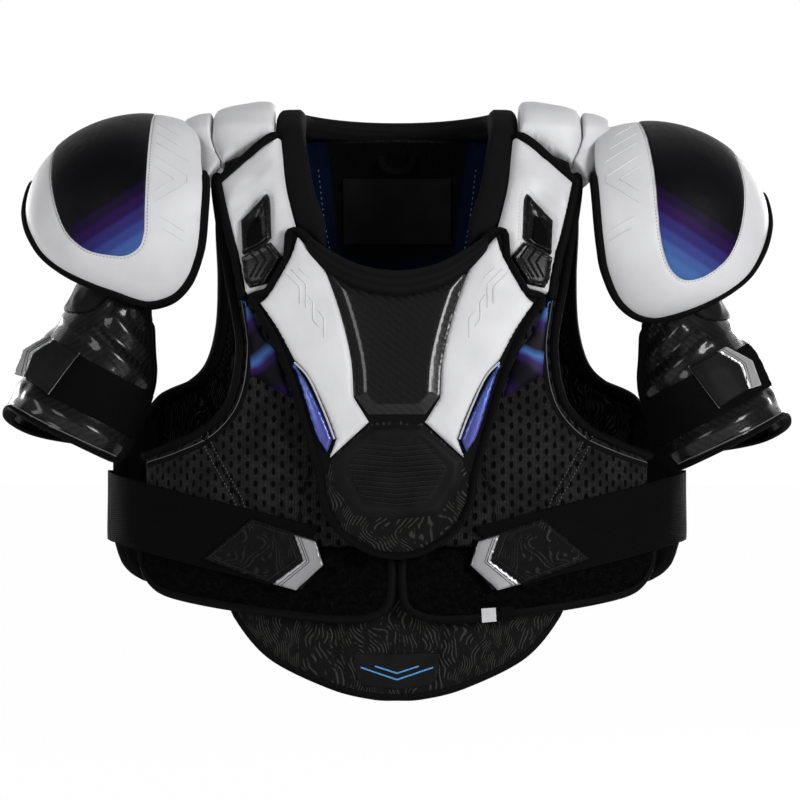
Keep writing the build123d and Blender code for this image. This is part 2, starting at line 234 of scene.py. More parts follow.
def whiteLeather(name, light, dark):
    finish = Finish(name, Roughness=0.45, Specular_IOR_Level=0.3)
    shade = finish.noise(38, 3.0).clipped(0.3, 0.75)
    pores = finish.cells(0.85)
    x, y, z = finish.place()
    scuffs = finish.noise(1.0, 4.0, 0.7, finish.join(x * 0.5, y * 0.5, z * 0.1)).clipped(0.68, 0.82)
    return finish.set(
        Base_Color=finish.mix(scuffs * 0.25, finish.mix(shade, light, dark), (0.5, 0.5, 0.51)),
        Roughness=finish.noise(7, 3.0) * 0.16 + 0.38 + scuffs * 0.1,
        Normal=finish.bump(finish.noise(0.7) + pores * 0.5, 0.05, 0.4),
    )


def hexMesh(name, pitch, strand, hole, holeSize, glint=0.5):
    # knitted spacer fabric: staggered tall holes in a fine diagonal knit
    finish = Finish(name, Roughness=0.75, Specular_IOR_Level=0.06)
    along, up, _ = finish.across()
    u, v = along / pitch[0], up / pitch[1]
    ax, ay = (u % 1.0) - 0.5, (v % 1.0) - 0.5
    bx, by = ((u - 0.5) % 1.0) - 0.5, ((v - 0.5) % 1.0) - 0.5
    nearest = (ax * ax + ay * ay * 0.2).smaller(bx * bx + by * by * 0.2)
    ragged = nearest + finish.noise(1.6, 2.0, 0.6) * 0.018 - 0.009
    solid = ragged.clipped(holeSize * 0.45, holeSize * 1.5)
    knots = ((along + up) * (2 * pi / 1.9)).sine() * ((along - up) * (2 * pi / 1.9)).sine() * 0.5 + 0.5
    fibres = finish.noise(0.8, 2.0, 0.7)
    patch = finish.noise(16).clipped(0.3, 0.7)
    shine = (knots * 0.8 + fibres * 0.7).clipped(0.68, 1.08) * (patch * 0.6 + 0.5)
    pale = toned(strand, 12, 0.02)
    tone = finish.mix(shine * glint, strand, pale)
    return finish.set(
        Base_Color=finish.mix(solid, hole, tone),
        Roughness=0.8 - shine * 0.3,
        Normal=finish.bump(solid * 1.4 + knots * 0.4 + fibres * 0.25, 0.9, 0.9),
    )


def carbonWeave(name, tow, warp, weft, coat=0.9, shine=0.35, relief=0.12):
    # 2 by 2 twill under a clear coat
    finish = Finish(name, Roughness=0.34, Coat_Weight=coat, Coat_Roughness=0.09, Specular_IOR_Level=0.12)
    along, up, _ = finish.across()
    u, v = along / tow, up / tow
    column, row = u.whole(), v.whole()
    over = ((column + row) % 4.0) < 1.5
    fibres = finish.noise(0.3, 2.0, 0.6)
    rise = over * ((u % 1.0) * pi).sine() + (1 - over) * ((v % 1.0) * pi).sine()
    return finish.set(
        Base_Color=finish.mix(fibres * 0.3, finish.mix(over, warp, weft), (0.016, 0.016, 0.017)),
        Roughness=shine + over * 0.14,
        Normal=finish.bump(rise, relief, 0.5),
    )


def moulded(name, colour, roughness=0.5, grain=0.5, spec=0.14):
    finish = Finish(name, Roughness=roughness, Specular_IOR_Level=spec)
    pits = finish.noise(grain, 2.0, 0.6)
    wear = finish.noise(24, 3.0).clipped(0.35, 0.75)
    lighter = toned(colour, 1.6, 0.001)
    return finish.set(
        Base_Color=finish.mix(wear, colour, lighter),
        Roughness=roughness + pits * 0.14 - 0.05,
        Normal=finish.bump(pits, 0.06, 0.6),
    )


def ribbedFabric(name, colour, rib, cross, depth=0.25, spec=0.035, fleck=0.3):
    # ribs run along the piece, with a finer cross thread
    finish = Finish(name, Roughness=0.8, Specular_IOR_Level=spec)
    along, up, _ = finish.across()
    ribs = ((up / rib) * (2 * pi)).sine() * 0.5 + 0.5
    threads = ((along / cross) * (2 * pi)).sine() * 0.5 + 0.5
    fibres = finish.noise(0.45, 2.0, 0.65)
    patch = finish.noise(30, 3.0)
    pale = toned(colour, 2.4, 0.004)
    return finish.set(
        Base_Color=finish.mix((ribs * 0.4 + fibres * 0.6) * fleck + patch * 0.15, colour, pale),
        Roughness=0.88 - ribs * 0.15,
        Normal=finish.bump(ribs * 0.8 + threads * 0.35 + fibres * 0.5, depth, 0.7),
    )


def brushedLoop(name, colour):
    finish = Finish(name, Roughness=0.95, Specular_IOR_Level=0.02)
    fuzz = finish.noise(1.4, 4.0, 0.8)
    clumps = finish.noise(5, 3.0, 0.6)
    pale = toned(colour, 5, 0.006)
    return finish.set(
        Base_Color=finish.mix(fuzz.clipped(0.48, 0.75) * 0.6 + clumps.clipped(0.4, 0.7) * 0.2, colour, pale),
        Normal=finish.bump(fuzz + clumps * 0.8, 0.9, 1.0),
    )


def contourLines(finish, pitch, wander):
    # thin wavy lines that run up the piece and break off here and there
    along, up, _ = finish.across()
    flat = finish.join(along, up)
    drift = finish.noise(48, 2.0, 0.4, flat) * wander + (up / 9).sine() * 0.9
    line = (((along + drift) / pitch) * (2 * pi)).sine().clipped(0.35, 0.85)
    broken = finish.noise(7, 2.0, 0.5, finish.join(along * 1.6, up * 0.6)).clipped(0.44, 0.54)
    return line * broken


def wavyPrint(name, colour, gloss, pitch, wander=60):
    # raised glossy contour lines printed on a dull knit
    finish = Finish(name, Roughness=0.8, Specular_IOR_Level=0.1)
    printed = contourLines(finish, pitch, wander)
    fibres = finish.noise(0.5, 2.0, 0.6)
    knit = finish.mix(fibres * 0.35, colour, toned(colour, 2.2))
    return finish.set(
        Base_Color=finish.mix(printed, knit, gloss),
        Roughness=0.85 - printed * 0.55,
        Normal=finish.bump(printed + fibres * 0.35, 0.2, 0.7),
    )


def linedMesh(name):
    # lining: dotted blue mesh beside the neck and below it, plain black behind it, printed fabric elsewhere
    finish = Finish(name, Roughness=0.85, Specular_IOR_Level=0.04)
    x, _, z = finish.place()
    along, up, _ = finish.across()
    u, v = (along + up) / 2.6, (along - up) / 2.6
    dx, dy = (u % 1.0) - 0.5, (v % 1.0) - 0.5
    dots = (dx * dx + dy * dy).clipped(0.04, 0.10)
    across, down = abs(x), z * -1
    edge = across + down * 0.12 + finish.noise(9) * 5
    beside = edge.clipped(60, 63) * (1 - across.clipped(86, 89))
    below = (down + across * 0.12).clipped(98, 120)
    near = (1 - down.clipped(140, 150)) * (1 - across.clipped(86, 89))
    blueMesh = finish.mix(dots, (0.004, 0.014, 0.045), (0.001, 0.003, 0.012))
    blueLiner = finish.mix(finish.noise(7), (0.001, 0.003, 0.012), (0.001, 0.006, 0.024))
    black = finish.mix(finish.noise(0.6), (0.001, 0.001, 0.001), (0.0032, 0.0032, 0.0034))
    printed = contourLines(finish, 3.0, 60)
    plain = finish.mix(printed, (0.0028, 0.0028, 0.003), (0.030, 0.029, 0.028))
    inside = finish.mix(beside, finish.mix(below, black, blueLiner), blueMesh)
    return finish.set(
        Base_Color=finish.mix(near, plain, inside),
        Roughness=0.85 - printed * 0.4,
        Normal=finish.bump(dots * beside + finish.noise(0.5) * 0.4 + printed * 0.3, 0.4, 0.6),
    )


def fadedStripes(name, stops, slope, origin, pitch):
    # glossy grained panel: plain slanted stripes that step from black to violet to sky blue
    finish = Finish(name, Roughness=0.5, Specular_IOR_Level=0.06)
    x, _, z = finish.place()
    step = ((origin[1] - z) + (abs(x) - origin[0]) * slope) / pitch
    stripe = (step % 1.0).clipped(0.0, 0.5)
    level = (step.whole() + stripe) * pitch / stops[-1][0]
    ramp = finish.node("ShaderNodeValToRGB", {"stops": [(p / stops[-1][0], c) for p, c in stops]}, [level])
    pores = finish.cells(1.1)
    return finish.set(
        Base_Color=ramp,
        Roughness=finish.noise(5) * 0.2 + 0.38,
        Normal=finish.bump(pores + finish.noise(0.6) + finish.noise(14) * 5, 0.12, 0.7),
    )


def foil(name, low, high, fadeFrom, fadeTo):
    # brushed metallic foil that fades from one colour to another down the piece
    finish = Finish(name, Metallic=0.55, Roughness=0.3, Coat_Weight=0.5, Coat_Roughness=0.1)
    x, y, z = finish.place()
    fade = ((z * -1) + finish.noise(22) * 30 - 15).clipped(fadeFrom, fadeTo)
    scratches = finish.noise(1.0, 3.0, 0.6, finish.join(x * 2.2, y, z * 0.25))
    return finish.set(
        Base_Color=finish.mix(scratches * 0.3, finish.mix(fade, high, low), (0.22, 0.26, 0.7)),
        Roughness=scratches * 0.3 + 0.2,
        Normal=finish.bump(scratches, 0.05, 0.4),
    )


def sheenInset(name):
    # glossy side inset: slanted soft bands of black, violet and sky blue
    finish = Finish(name, Roughness=0.5, Specular_IOR_Level=0.03)
    x, _, z = finish.place()
    down = ((z * -1) - abs(x) * 0.55 + finish.noise(26, 1.0) * 16 - 8 - 78) / 104
    stops = [
        (0.0, (0.07, 0.19, 0.52)), (0.09, (0.03, 0.012, 0.10)), (0.19, (0.004, 0.003, 0.007)),
        (0.36, (0.004, 0.003, 0.007)), (0.46, (0.05, 0.14, 0.40)), (0.53, (0.03, 0.012, 0.10)),
        (0.64, (0.004, 0.003, 0.006)), (0.84, (0.003, 0.003, 0.005)), (0.93, (0.014, 0.005, 0.045)),
        (1.0, (0.003, 0.003, 0.004)),
    ]
    return finish.set(
        Base_Color=finish.node("ShaderNodeValToRGB", {"stops": stops}, [down.clipped(0, 1)]),
        Roughness=finish.noise(4) * 0.15 + 0.25,
        Normal=finish.bump(finish.noise(1.2), 0.06, 0.5),
    )


def brushedMetal(name, colour):
    finish = Finish(name, Metallic=0.85, Roughness=0.34)
    x, y, z = finish.place()
    lines = finish.noise(1.0, 3.0, 0.7, finish.join(x * 2.5, y, z * 0.4))
    return finish.set(
        Base_Color=finish.mix(lines, toned(colour, 0.75), colour),
        Roughness=lines * 0.3 + 0.24,
        Normal=finish.bump(lines, 0.03, 0.4),
    )


def thread(name, colour):
    finish = Finish(name, Roughness=0.6, Specular_IOR_Level=0.25)
    return finish.set(
        Base_Color=finish.mix(finish.noise(0.8), toned(colour, 0.7), colour),
        Normal=finish.bump(finish.noise(0.25), 0.05, 0.5),
    )


finishes = {
    "white": whiteLeather("whiteLeather", (0.70, 0.70, 0.71), (0.63, 0.63, 0.65)),
    "chestMesh": hexMesh("chestMesh", (12, 10), (0.0024, 0.0024, 0.0026), (0.0002,) * 3, 0.0155, 0.95),
    "sideMesh": hexMesh("sideMesh", (6.4, 5.4), (0.003, 0.003, 0.0032), (0.0004,) * 3, 0.019, 0.4),
    "carbon": carbonWeave("carbonWeave", 1.5, (0.008, 0.008, 0.0084), (0.002, 0.002, 0.0022), 0.5, 0.24),
    "wrap": carbonWeave("guardWrap", 1.9, (0.007, 0.007, 0.0074), (0.0012, 0.0012, 0.0013), 0.4, 0.27, 0.075),
    "black": moulded("blackMoulded", (0.003, 0.003, 0.0032), 0.46),
    "glossBlack": moulded("glossBlack", (0.0025, 0.0025, 0.0027), 0.26, 0.8, 0.3),
    "rubber": moulded("softRubber", (0.0036, 0.0036, 0.0038), 0.55, 0.6, 0.1),
    "tape": ribbedFabric("bindingTape", (0.0026, 0.0026, 0.0028), 1.6, 0.9, 0.1),
    "elastic": ribbedFabric("wovenElastic", (0.0016, 0.0016, 0.0017), 1.5, 0.8, 0.22, 0.03),
    "knit": ribbedFabric("collarKnit", (0.0034, 0.0034, 0.0037), 1.1, 0.7, 0.18, 0.04, 0.5),
    "woven": ribbedFabric("backFabric", (0.0035, 0.0035, 0.0038), 0.9, 0.9, 0.15),
    "loop": brushedLoop("brushedLoop", (0.0009, 0.0009, 0.001)),
    "print": wavyPrint("wavyPrint", (0.0036, 0.0036, 0.0038), (0.034, 0.032, 0.029), 2.5),
    "tabPrint": wavyPrint("tabPrint", (0.003, 0.003, 0.0032), (0.011, 0.011, 0.0115), 3.2, 110),
    "lining": linedMesh("liningMesh"),
    "capInsert": fadedStripes(
        "capInsertFinish",
        [(0, (0.003, 0.003, 0.0035)), (84, (0.003, 0.003, 0.0045)), (100, (0.018, 0.005, 0.055)),
         (116, (0.03, 0.03, 0.17)), (134, (0.055, 0.12, 0.34)), (170, (0.085, 0.19, 0.42))],
        -0.62, (262, -6), 10,
    ),
    "foil": foil("violetFoil", (0.05, 0.045, 0.26), (0.04, 0.09, 0.36), 195, 275),
    "inset": sheenInset("sideInset"),
    "silver": brushedMetal("brushedSilver", (0.38, 0.38, 0.39)),
    # a paler copy of the silver for the side that the key lamp lights: painted light
    "paintedLitSilver": brushedMetal("paintedLitSilver", (0.78, 0.78, 0.79)),
    "skyBlue": thread("skyBlueLine", (0.10, 0.32, 0.66)),
    "paleThread": thread("paleThread", (0.16, 0.16, 0.17)),
    "darkThread": thread("darkThread", (0.012, 0.012, 0.013)),
    "whiteThread": thread("whiteThread", (0.6, 0.6, 0.62)),
    "blueThread": thread("blueThread", (0.14, 0.24, 0.42)),
}
# the slot that a finish goes in, where a piece names none
usualSlots = {
    finish: slot for slot, kinds in {
        "black_moulded": ("black", "glossBlack", "rubber", "tabPrint", "silver", "paintedLitSilver"),
        "carbon_composite": ("carbon", "wrap"), "collar_fabric": ("knit",), "elastic": ("elastic",),
        "colour_insert": ("inset", "foil", "capInsert"), "edge_binding": ("tape", "paleThread"),
        "label": ("skyBlue",), "lining": ("lining", "woven", "blueThread"), "loop_fabric": ("loop",),
        "mesh_fabric": ("chestMesh",), "back_shell": ("sideMesh",), "print_fabric": ("print", "darkThread"),
        "white_cover": ("white", "whiteThread"),
    }.items() for finish in kinds
}
print("materials made:", len(finishes))


def between(rows, height):
    # smooth values between the rows of a table sorted by height
    height = max(rows[0][0], min(rows[-1][0], height))
    i = 1
    while i < len(rows) - 1 and rows[i][0] < height:
        i += 1
    low, high = rows[i - 1], rows[i]
    before = rows[i - 2] if i > 1 else low
    after = rows[i + 1] if i + 1 < len(rows) else high
    span = high[0] - low[0]
    f = (height - low[0]) / span
    values = []
    for k in range(1, len(low)):
        a, b = low[k], high[k]
        slopeA = (high[k] - before[k]) / (high[0] - before[0]) * span
        slopeB = (after[k] - low[k]) / (after[0] - low[0]) * span
        values.append(
            a * (2 * f**3 - 3 * f**2 + 1) + slopeA * (f**3 - 2 * f**2 + f)
            + b * (3 * f**2 - 2 * f**3) + slopeB * (f**3 - f**2)
        )
    return values


torsoSections = [  # height, half width, half depth
    (-460, 216, 106),
    (-260, 216, 106),
    (-210, 212, 104),
    (-160, 208, 98),
    (-110, 202, 88),
    (-60, 190, 70),
    (-30, 175, 52),
    (-12, 152, 36),
    (0, 96, 16),
    (3, 60, 8),
]
liftStart, liftSpan = -30, 18  # above here a layer also rises off the shoulders


class Torso:
    # the front (-1) or back (1) of the worn shape; side is -1 for the wearer's right
    roundness = 180

    def __init__(self, side=1, facing=-1):
        self.side, self.facing = side, facing

    def flatten(self, x, z, layer):
        height = z
        if z > liftStart:
            height = max((z * liftSpan + liftStart * layer) / (liftSpan + layer), z - layer)
        halfWidth = between(torsoSections, height)[0] + layer
        return Vector((self.roundness * asin(max(-1, min(1, x / halfWidth))), height, 0))

    def put(self, p, q, layer):
        halfWidth, halfDepth = between(torsoSections, q)
        angle = p / self.roundness
        lift = layer * max(0, min(1, (q - liftStart) / liftSpan))
        return Vector((
            self.side * (halfWidth + layer) * sin(angle),
            self.facing * (halfDepth + layer) * cos(angle),
            q + lift,
        ))


class Arch:
    # over the top of one shoulder, from front to back
    middle = -62
    roundness = 62
    farthest, widest = 140, 0.75 * pi
    halvings = 22

    def __init__(self, side):
        self.side = side

    def outside(self, x, y, z, layer):
        height = z - layer * max(0, min(1, (z - layer * 0.5 - liftStart) / liftSpan))
        halfWidth, halfDepth = between(torsoSections, height)
        if height > torsoSections[-1][0]:
            return True
        return (x / (halfWidth + layer)) ** 2 + (y / max(halfDepth + layer, 1)) ** 2 > 1

    def put(self, p, q, layer):
        angle = q / self.roundness
        low, high = 0, self.farthest
        for _ in range(self.halvings):
            reach = (low + high) / 2
            if self.outside(p, reach * sin(angle), self.middle + reach * cos(angle), layer):
                high = reach
            else:
                low = reach
        return Vector((self.side * p, -low * sin(angle), self.middle + low * cos(angle)))

    def flatten(self, x, z, layer):
        low, high = 0, self.widest
        for _ in range(self.halvings):
            angle = (low + high) / 2
            if self.put(x, angle * self.roundness, layer).z > z:
                low = angle
            else:
                high = angle
        return Vector((x, low * self.roundness, 0))


armDrop = {-1: 0, 1: 6}
capTurn = {-1: 0, 1: radians(-2)}
capShape = {"x": 200, "z": -78, "halfLength": 99, "radius": 86}
guardShape = {"x": 246, "z": -204, "lean": radians(20)}
guardSections = [  # height, half width, half depth, off centre
    (-60, 57, 61, 0), (-42, 56, 60, -1), (-20, 52, 56, -2), (10, 50, 56, -3), (24, 46, 53, -3.5),
    (36, 41, 49, -3), (50, 36, 45, -2), (68, 31, 41, 0), (86, 27, 38, 0),
]


class Cap:
    # an ellipsoid about an axis across the shoulder; p runs along the axis, q round it from the top
    length, girth = 90, 80

    def __init__(self, side):
        self.side = side
        turn = capTurn[side]
        self.centre = Vector((side * capShape["x"], 0, capShape["z"] - armDrop[side]))
        self.right = Vector((cos(turn), 0, sin(turn)))
        self.up = Vector((-sin(turn), 0, cos(turn)))

    def flatten(self, x, z, layer):
        spot = Vector((self.side * x, 0, z)) - self.centre
        angle = asin(max(-1, min(1, self.side * spot.dot(self.right) / (capShape["halfLength"] + layer))))
        radius = (capShape["radius"] + layer) * cos(angle)
        height = max(-1, min(1, spot.dot(self.up) / max(radius, 0.01)))
        return Vector((self.length * angle, self.girth * acos(height), 0))

    def put(self, p, q, layer):
        angle, around = p / self.length, q / self.girth
        radius = (capShape["radius"] + layer) * cos(angle)
        along = (capShape["halfLength"] + layer) * sin(angle)
        return (
            self.centre
            + self.right * (self.side * along)
            + self.up * (radius * cos(around))
            + Vector((0, -radius * sin(around), 0))
        )


class Guard:
    # the biceps wrap; p runs round it from the front towards the outside, q along its axis
    girth = 52

    def __init__(self, side):
        self.side = side
        lean = guardShape["lean"]
        self.centre = Vector((side * guardShape["x"], 0, guardShape["z"] - armDrop[side]))
        self.out = Vector((side * cos(lean), 0, sin(lean)))
        self.up = Vector((-side * sin(lean), 0, cos(lean)))

    def put(self, p, q, layer):
        halfWidth, halfDepth, shift = between(guardSections, q)
        angle = p / self.girth
        return (
            self.centre
            + self.out * ((halfWidth + layer) * sin(angle) + shift)
            + self.up * q
            + Vector((0, -(halfDepth + layer) * cos(angle), 0))
        )


class Tangent:
    # a guard's chart that goes straight on, off the surface, beyond one place
    def __init__(self, chart, start):
        self.chart, self.start = chart, start

    def put(self, p, q, layer):
        beyond = max(0, p - self.start) / self.chart.girth
        return self.chart.put(p, q, layer + between(guardSections, q)[0] * (1 / cos(beyond) - 1))


making = {
    "step": 2.0,  # between the points of an outline
    "touching": 0.01,
    "edgeRings": (0.7, 1.3),  # narrow rings of faces along a panel's edge
    "cutOffset": 0.013,  # keeps the cuts off the outline's own points
    "cutTolerance": 0.001,
    "smallestEdge": 0.04,
    "thinnest": 0.3,
    "sharpFrom": radians(50),
    "edgeStep": 0.8,
    "seamStep": 0.5,
    "seamReach": 2.5,  # a seam is felt this many widths away
    "hollowCurve": 1.2,
    "waveCut": 0.3,  # where the noise is cut for a panel's waves
    "waveFade": 8,
    "taperStart": 0.6,  # how far into its taper a band starts
    "flatTurn": 4,  # flat width of half a turn round a band
    "beadDepth": 0.8,  # of a stitch, against its width
    "reliefStep": 1.4,
    "cornerStep": 1.0,
}


def outline(*points):
    # the smooth or straight runs between an outline's corners; a corner is in square brackets,
    # and an outline that starts with one is closed
    if isinstance(points[0], list):
        points += (points[0],)
    runs = [[tuple(points[0])]]
    for point in points[1:]:
        runs[-1].append(tuple(point))
        if isinstance(point, list):
            runs.append([tuple(point)])
    return [run for run in runs if len(run) > 1]


def smoothRun(points, step=making["step"]):
    # short steps along a curve through the points; two points make a straight run
    points = [Vector((x, z, 0)) for x, z in points]
    if len(points) == 2:
        count = max(1, ceil((points[1] - points[0]).length / step))
        return [points[0].lerp(points[1], i / count) for i in range(count + 1)]
    made = [points[0]]
    for i in range(len(points) - 1):
        start, end = points[i], points[i + 1]
        before = points[i - 1] if i else start
        after = points[i + 2] if i + 2 < len(points) else end
        count = max(2, ceil((end - start).length / step))
        made += interpolate_bezier(
            start, start + (end - before) / 6, end - (after - start) / 6, end, count + 1
        )[1:]
    return made


def trace(runs, step=making["step"]):
    # one line of points along all the runs of an outline
    line = []
    for run in runs:
        points = smoothRun(run, step)
        line += points if not line or (line[-1] - points[0]).length > making["touching"] else points[1:]
    if (line[0] - line[-1]).length < making["touching"]:
        line.pop()
    return line


def evenly(points, spacing, closed=False):
    # points at an even spacing along a line
    if closed:
        points = points + [points[0]]
    lengths = [(b - a).length for a, b in zip(points, points[1:])]
    total = sum(lengths)
    count = max(2, round(total / spacing))
    made, i, passed = [], 0, 0.0
    for n in range(count if closed else count + 1):
        goal = total * n / count
        while i < len(lengths) - 1 and passed + lengths[i] < goal:
            passed += lengths[i]
            i += 1
        made.append(points[i].lerp(points[i + 1], min(1, (goal - passed) / max(lengths[i], 1e-9))))
    return made


def nearestTo(points):
    tree = KDTree(len(points))
    for i, point in enumerate(points):
        tree.insert(point, i)
    tree.balance()
    return tree


def flattenAll(chart, points, layer):
    return [chart.flatten(point.x, point.y, layer) for point in points]


def finishPiece(bm, name, body, finish, node=None, slot=None):
    # writes a bmesh out as one piece that rides on its body
    bmesh.ops.scale(bm, vec=(mm, mm, mm), verts=bm.verts)
    bmesh.ops.recalc_face_normals(bm, faces=bm.faces)
    for face in bm.faces:
        face.smooth = True
    for edge in bm.edges:
        edge.smooth = len(edge.link_faces) != 2 or edge.calc_face_angle(0) < making["sharpFrom"]
    mesh = bpy.data.meshes.new(name)
    bm.to_mesh(mesh)
    bm.free()
    mesh.materials.append(finishes[finish])
    piece = bpy.data.objects.new(name, mesh)
    bpy.context.scene.collection.objects.link(piece)
    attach(piece, body)
    if node:
        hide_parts(node)
    slot or usualSlots[finish]


def cutPanel(line, cell):
    # a flat panel of small faces inside a closed line
    bm = bmesh.new()
    face = bm.faces.new([bm.verts.new(point) for point in line])
    for width in making["edgeRings"]:
        bmesh.ops.inset_region(bm, faces=[face], thickness=width, use_even_offset=True, use_boundary=True)
    for axis in (0, 1):
        low, high = min(point[axis] for point in line), max(point[axis] for point in line)
        count = floor((high - low) / cell)
        start = (low + high - count * cell) / 2
        direction = Vector((0, 0, 0))
        direction[axis] = 1
        for i in range(count + 1):
            spot = direction * (start + i * cell + making["cutOffset"])
            geometry = bm.verts[:] + bm.edges[:] + bm.faces[:]
            bmesh.ops.bisect_plane(
                bm, geom=geometry, dist=making["cutTolerance"], plane_co=spot, plane_no=direction,
            )
    bmesh.ops.dissolve_degenerate(bm, dist=making["smallestEdge"], edges=bm.edges)
    return bm


def crown(line, layer, rim=3.0, rimHeight=0.35, puff=0.0, puffWidth=14.0, lines=(), dents=(), waves=(0, 20),
          sharp=False):
    # how high a padded sheet stands at each flat point: edge, belly, sewn lines, hollows and creases
    inner, outer = layer
    edge = nearestTo(evenly(line, making["edgeStep"], closed=True))
    seams, hollows = (
        [(nearestTo(evenly(points, making["seamStep"])), width, rise) for points, width, rise in group]
        for group in (lines, dents)
    )
    amount, size, *rest = waves
    length, slope = rest if rest else (size, 0)

    def height(spot):
        toEdge = edge.find(spot)[2]
        f = min(toEdge / rim, 1)
        share = f if sharp else sqrt(max(0, 1 - (1 - f) ** 2))
        top = inner + (outer - inner) * (rimHeight + (1 - rimHeight) * share)
        top += puff * (1 - (1 - min(toEdge / puffWidth, 1)) ** 2)
        for tree, width, rise in seams:
            away = tree.find(spot)[2] / width
            if away < making["seamReach"]:
                top += rise * exp(-away * away)
        for tree, width, rise in hollows:
            away = tree.find(spot)[2] / width
            if away < 1:
                top += rise * (1 - away) ** making["hollowCurve"]
        if amount:
            along, up = (spot.x + slope * spot.y) / length, (spot.y - slope * spot.x) / size
            wave = noise.noise(Vector((along, up, making["waveCut"])))
            top += amount * wave * min(toEdge / making["waveFade"], 1)
        return top

    return height


def panel(chart, line, inner, height, cell):
    # a closed sheet cut to a line and laid on a chart, from the inner layer up to the height at each point
    bm = cutPanel(line, cell)
    flat = bm.loops.layers.uv.new("flat")
    tops = [max(height(vert.co), inner + making["thinnest"]) for vert in bm.verts]
    order = bm.verts.layers.int.new("order")
    bm.verts.index_update()
    for vert in bm.verts:
        vert[order] = vert.index
    made = bmesh.ops.extrude_face_region(bm, geom=bm.faces[:])
    raised = {element for element in made["geom"] if isinstance(element, bmesh.types.BMVert)}
    for face in bm.faces:
        for loop in face.loops:
            loop[flat].uv = (loop.vert.co.x * mm, loop.vert.co.y * mm)
    for vert in bm.verts:
        vert.co = chart.put(vert.co.x, vert.co.y, tops[vert[order]] if vert in raised else inner)
    return bm


def frames(chart, points, layer, closed=False):
    # place, outward normal and heading at each point of a line on a chart; the layer may depend on the point
    layers = [layer(point) if callable(layer) else layer for point in points]
    places = [chart.put(point.x, point.y, level) for point, level in zip(points, layers)]
    made = []
    for i, place in enumerate(places):
        ahead = places[(i + 1) % len(places)] if closed or i + 1 < len(places) else place
        behind = places[i - 1] if closed or i else place
        heading = (ahead - behind).normalized()
        outward = chart.put(points[i].x, points[i].y, layers[i] + 1) - place
        outward = (outward - heading * outward.dot(heading)).normalized()
        across = heading.cross(outward)
        made.append(Matrix((across, outward, heading)).transposed().to_4x4())
        made[-1].translation = place
    return made


def sweep(bm, path, halfWidth, halfHeight, closed=False, segments=10, taper=0):
    # a band swept along frames: an oval ring drawn out step by step
    flat = bm.loops.layers.uv.get("flat") or bm.loops.layers.uv.new("flat")
    count = len(path)

    def sized(i):
        grow = 1.0
        if taper and not closed:
            grow = sqrt(min(1, (min(i, count - 1 - i) + making["taperStart"]) / taper))
        wide = halfWidth(i / (count - 1)) if callable(halfWidth) else halfWidth
        high = halfHeight(i / (count - 1)) if callable(halfHeight) else halfHeight
        return path[i] @ Matrix.Diagonal((wide * grow, high * grow, 1, 1))

    ring = bmesh.ops.create_circle(bm, cap_ends=False, radius=1, segments=segments, matrix=sized(0))["verts"]
    edges = firstEdges = list(dict.fromkeys(edge for vert in ring for edge in vert.link_edges))
    travelled = 0
    if not closed:
        bmesh.ops.contextual_create(bm, geom=edges)
    for i in range(1, count):
        grown = bmesh.ops.extrude_edge_only(bm, edges=edges)["geom"]
        ring = {element for element in grown if isinstance(element, bmesh.types.BMVert)}
        edges = [
            element for element in grown
            if isinstance(element, bmesh.types.BMEdge) and ring.issuperset(element.verts)
        ]
        bmesh.ops.transform(bm, matrix=sized(i) @ sized(i - 1).inverted(), verts=list(ring))
        step = (path[i].translation - path[i - 1].translation).length
        for face in (element for element in grown if isinstance(element, bmesh.types.BMFace)):
            for loop in face.loops:
                local = path[i].inverted() @ loop.vert.co
                turn = Vector((local.x, local.y)).angle_signed(Vector((0, 1)), 0)
                along = travelled + (step if loop.vert in ring else 0)
                loop[flat].uv = (along * mm, turn / pi * making["flatTurn"] * mm)
        travelled += step
    if closed:
        bmesh.ops.bridge_loops(bm, edges=edges + firstEdges)
    else:
        bmesh.ops.contextual_create(bm, geom=edges)


def pad(name, body, finish, chart, line, layer, cell, node=None, fill=None, slot=None, **shape):
    # one padded sheet; returns how high it stands, for what is sewn on it
    height = crown(line, layer, **shape)
    finishPiece(panel(chart, line, layer[0], height, cell), name, body, finish, node, slot=slot)
    return height


def band(
    name, body, finish, chart, points, layer, halfWidth, halfHeight, closed=False, spacing=3.0, node=None,
    segments=10, taper=0,
):
    # an oval binding, roll or cord along a line
    bm = bmesh.new()
    path = frames(chart, evenly(points, spacing, closed), layer, closed)
    sweep(bm, path, halfWidth, halfHeight, closed, segments, taper)
    finishPiece(bm, name, body, finish, node)


def above(height, lift):
    # a little over a padded sheet
    return lambda spot: height(spot) + lift


def relief(name, body, finish, chart, lines, height, thick=0.5, lift=0.05, slot=None):
    # thin raised lines that follow the piece they are moulded on
    bm = bmesh.new()
    for line in lines:
        path = frames(chart, evenly(line, making["reliefStep"]), above(height, lift))
        sweep(bm, path, thick, thick, segments=6)
    finishPiece(bm, name, body, finish, slot=slot)


def sewn(name, body, finish, rows, length=2.0, thick=0.4, spacing=3.0, slot=None):
    # rows of stitches; a row is a chart, a line and a layer or height
    bm = bmesh.new()
    bm.loops.layers.uv.new("flat")
    bead = Matrix.Diagonal((thick, thick * making["beadDepth"], length / 2, 1))
    for chart, line, layer in rows:
        for spot in frames(chart, evenly(line, spacing), layer):
            bmesh.ops.create_icosphere(bm, subdivisions=1, radius=1, matrix=spot @ bead)
    finishPiece(bm, name, body, finish, slot=slot)


def onCentre(chart, runs, layer):
    # a half outline and its mirrored half, flattened on a chart
    mirrored = [[(-x, z) for x, z in reversed(run)] for run in reversed(runs)]
    return flattenAll(chart, trace(runs + mirrored), layer)


def oneSide(chart, runs, layer):
    return flattenAll(chart, trace(runs), layer)


def flatLine(chart, points, layer):
    return flattenAll(chart, smoothRun(points), layer)


def sharply(points):
    # the straight runs between the points of a line
    return [list(pair) for pair in zip(points, points[1:])]


def corners(chart, points, layer):
    return flattenAll(chart, trace(sharply(points), making["cornerStep"]), layer)


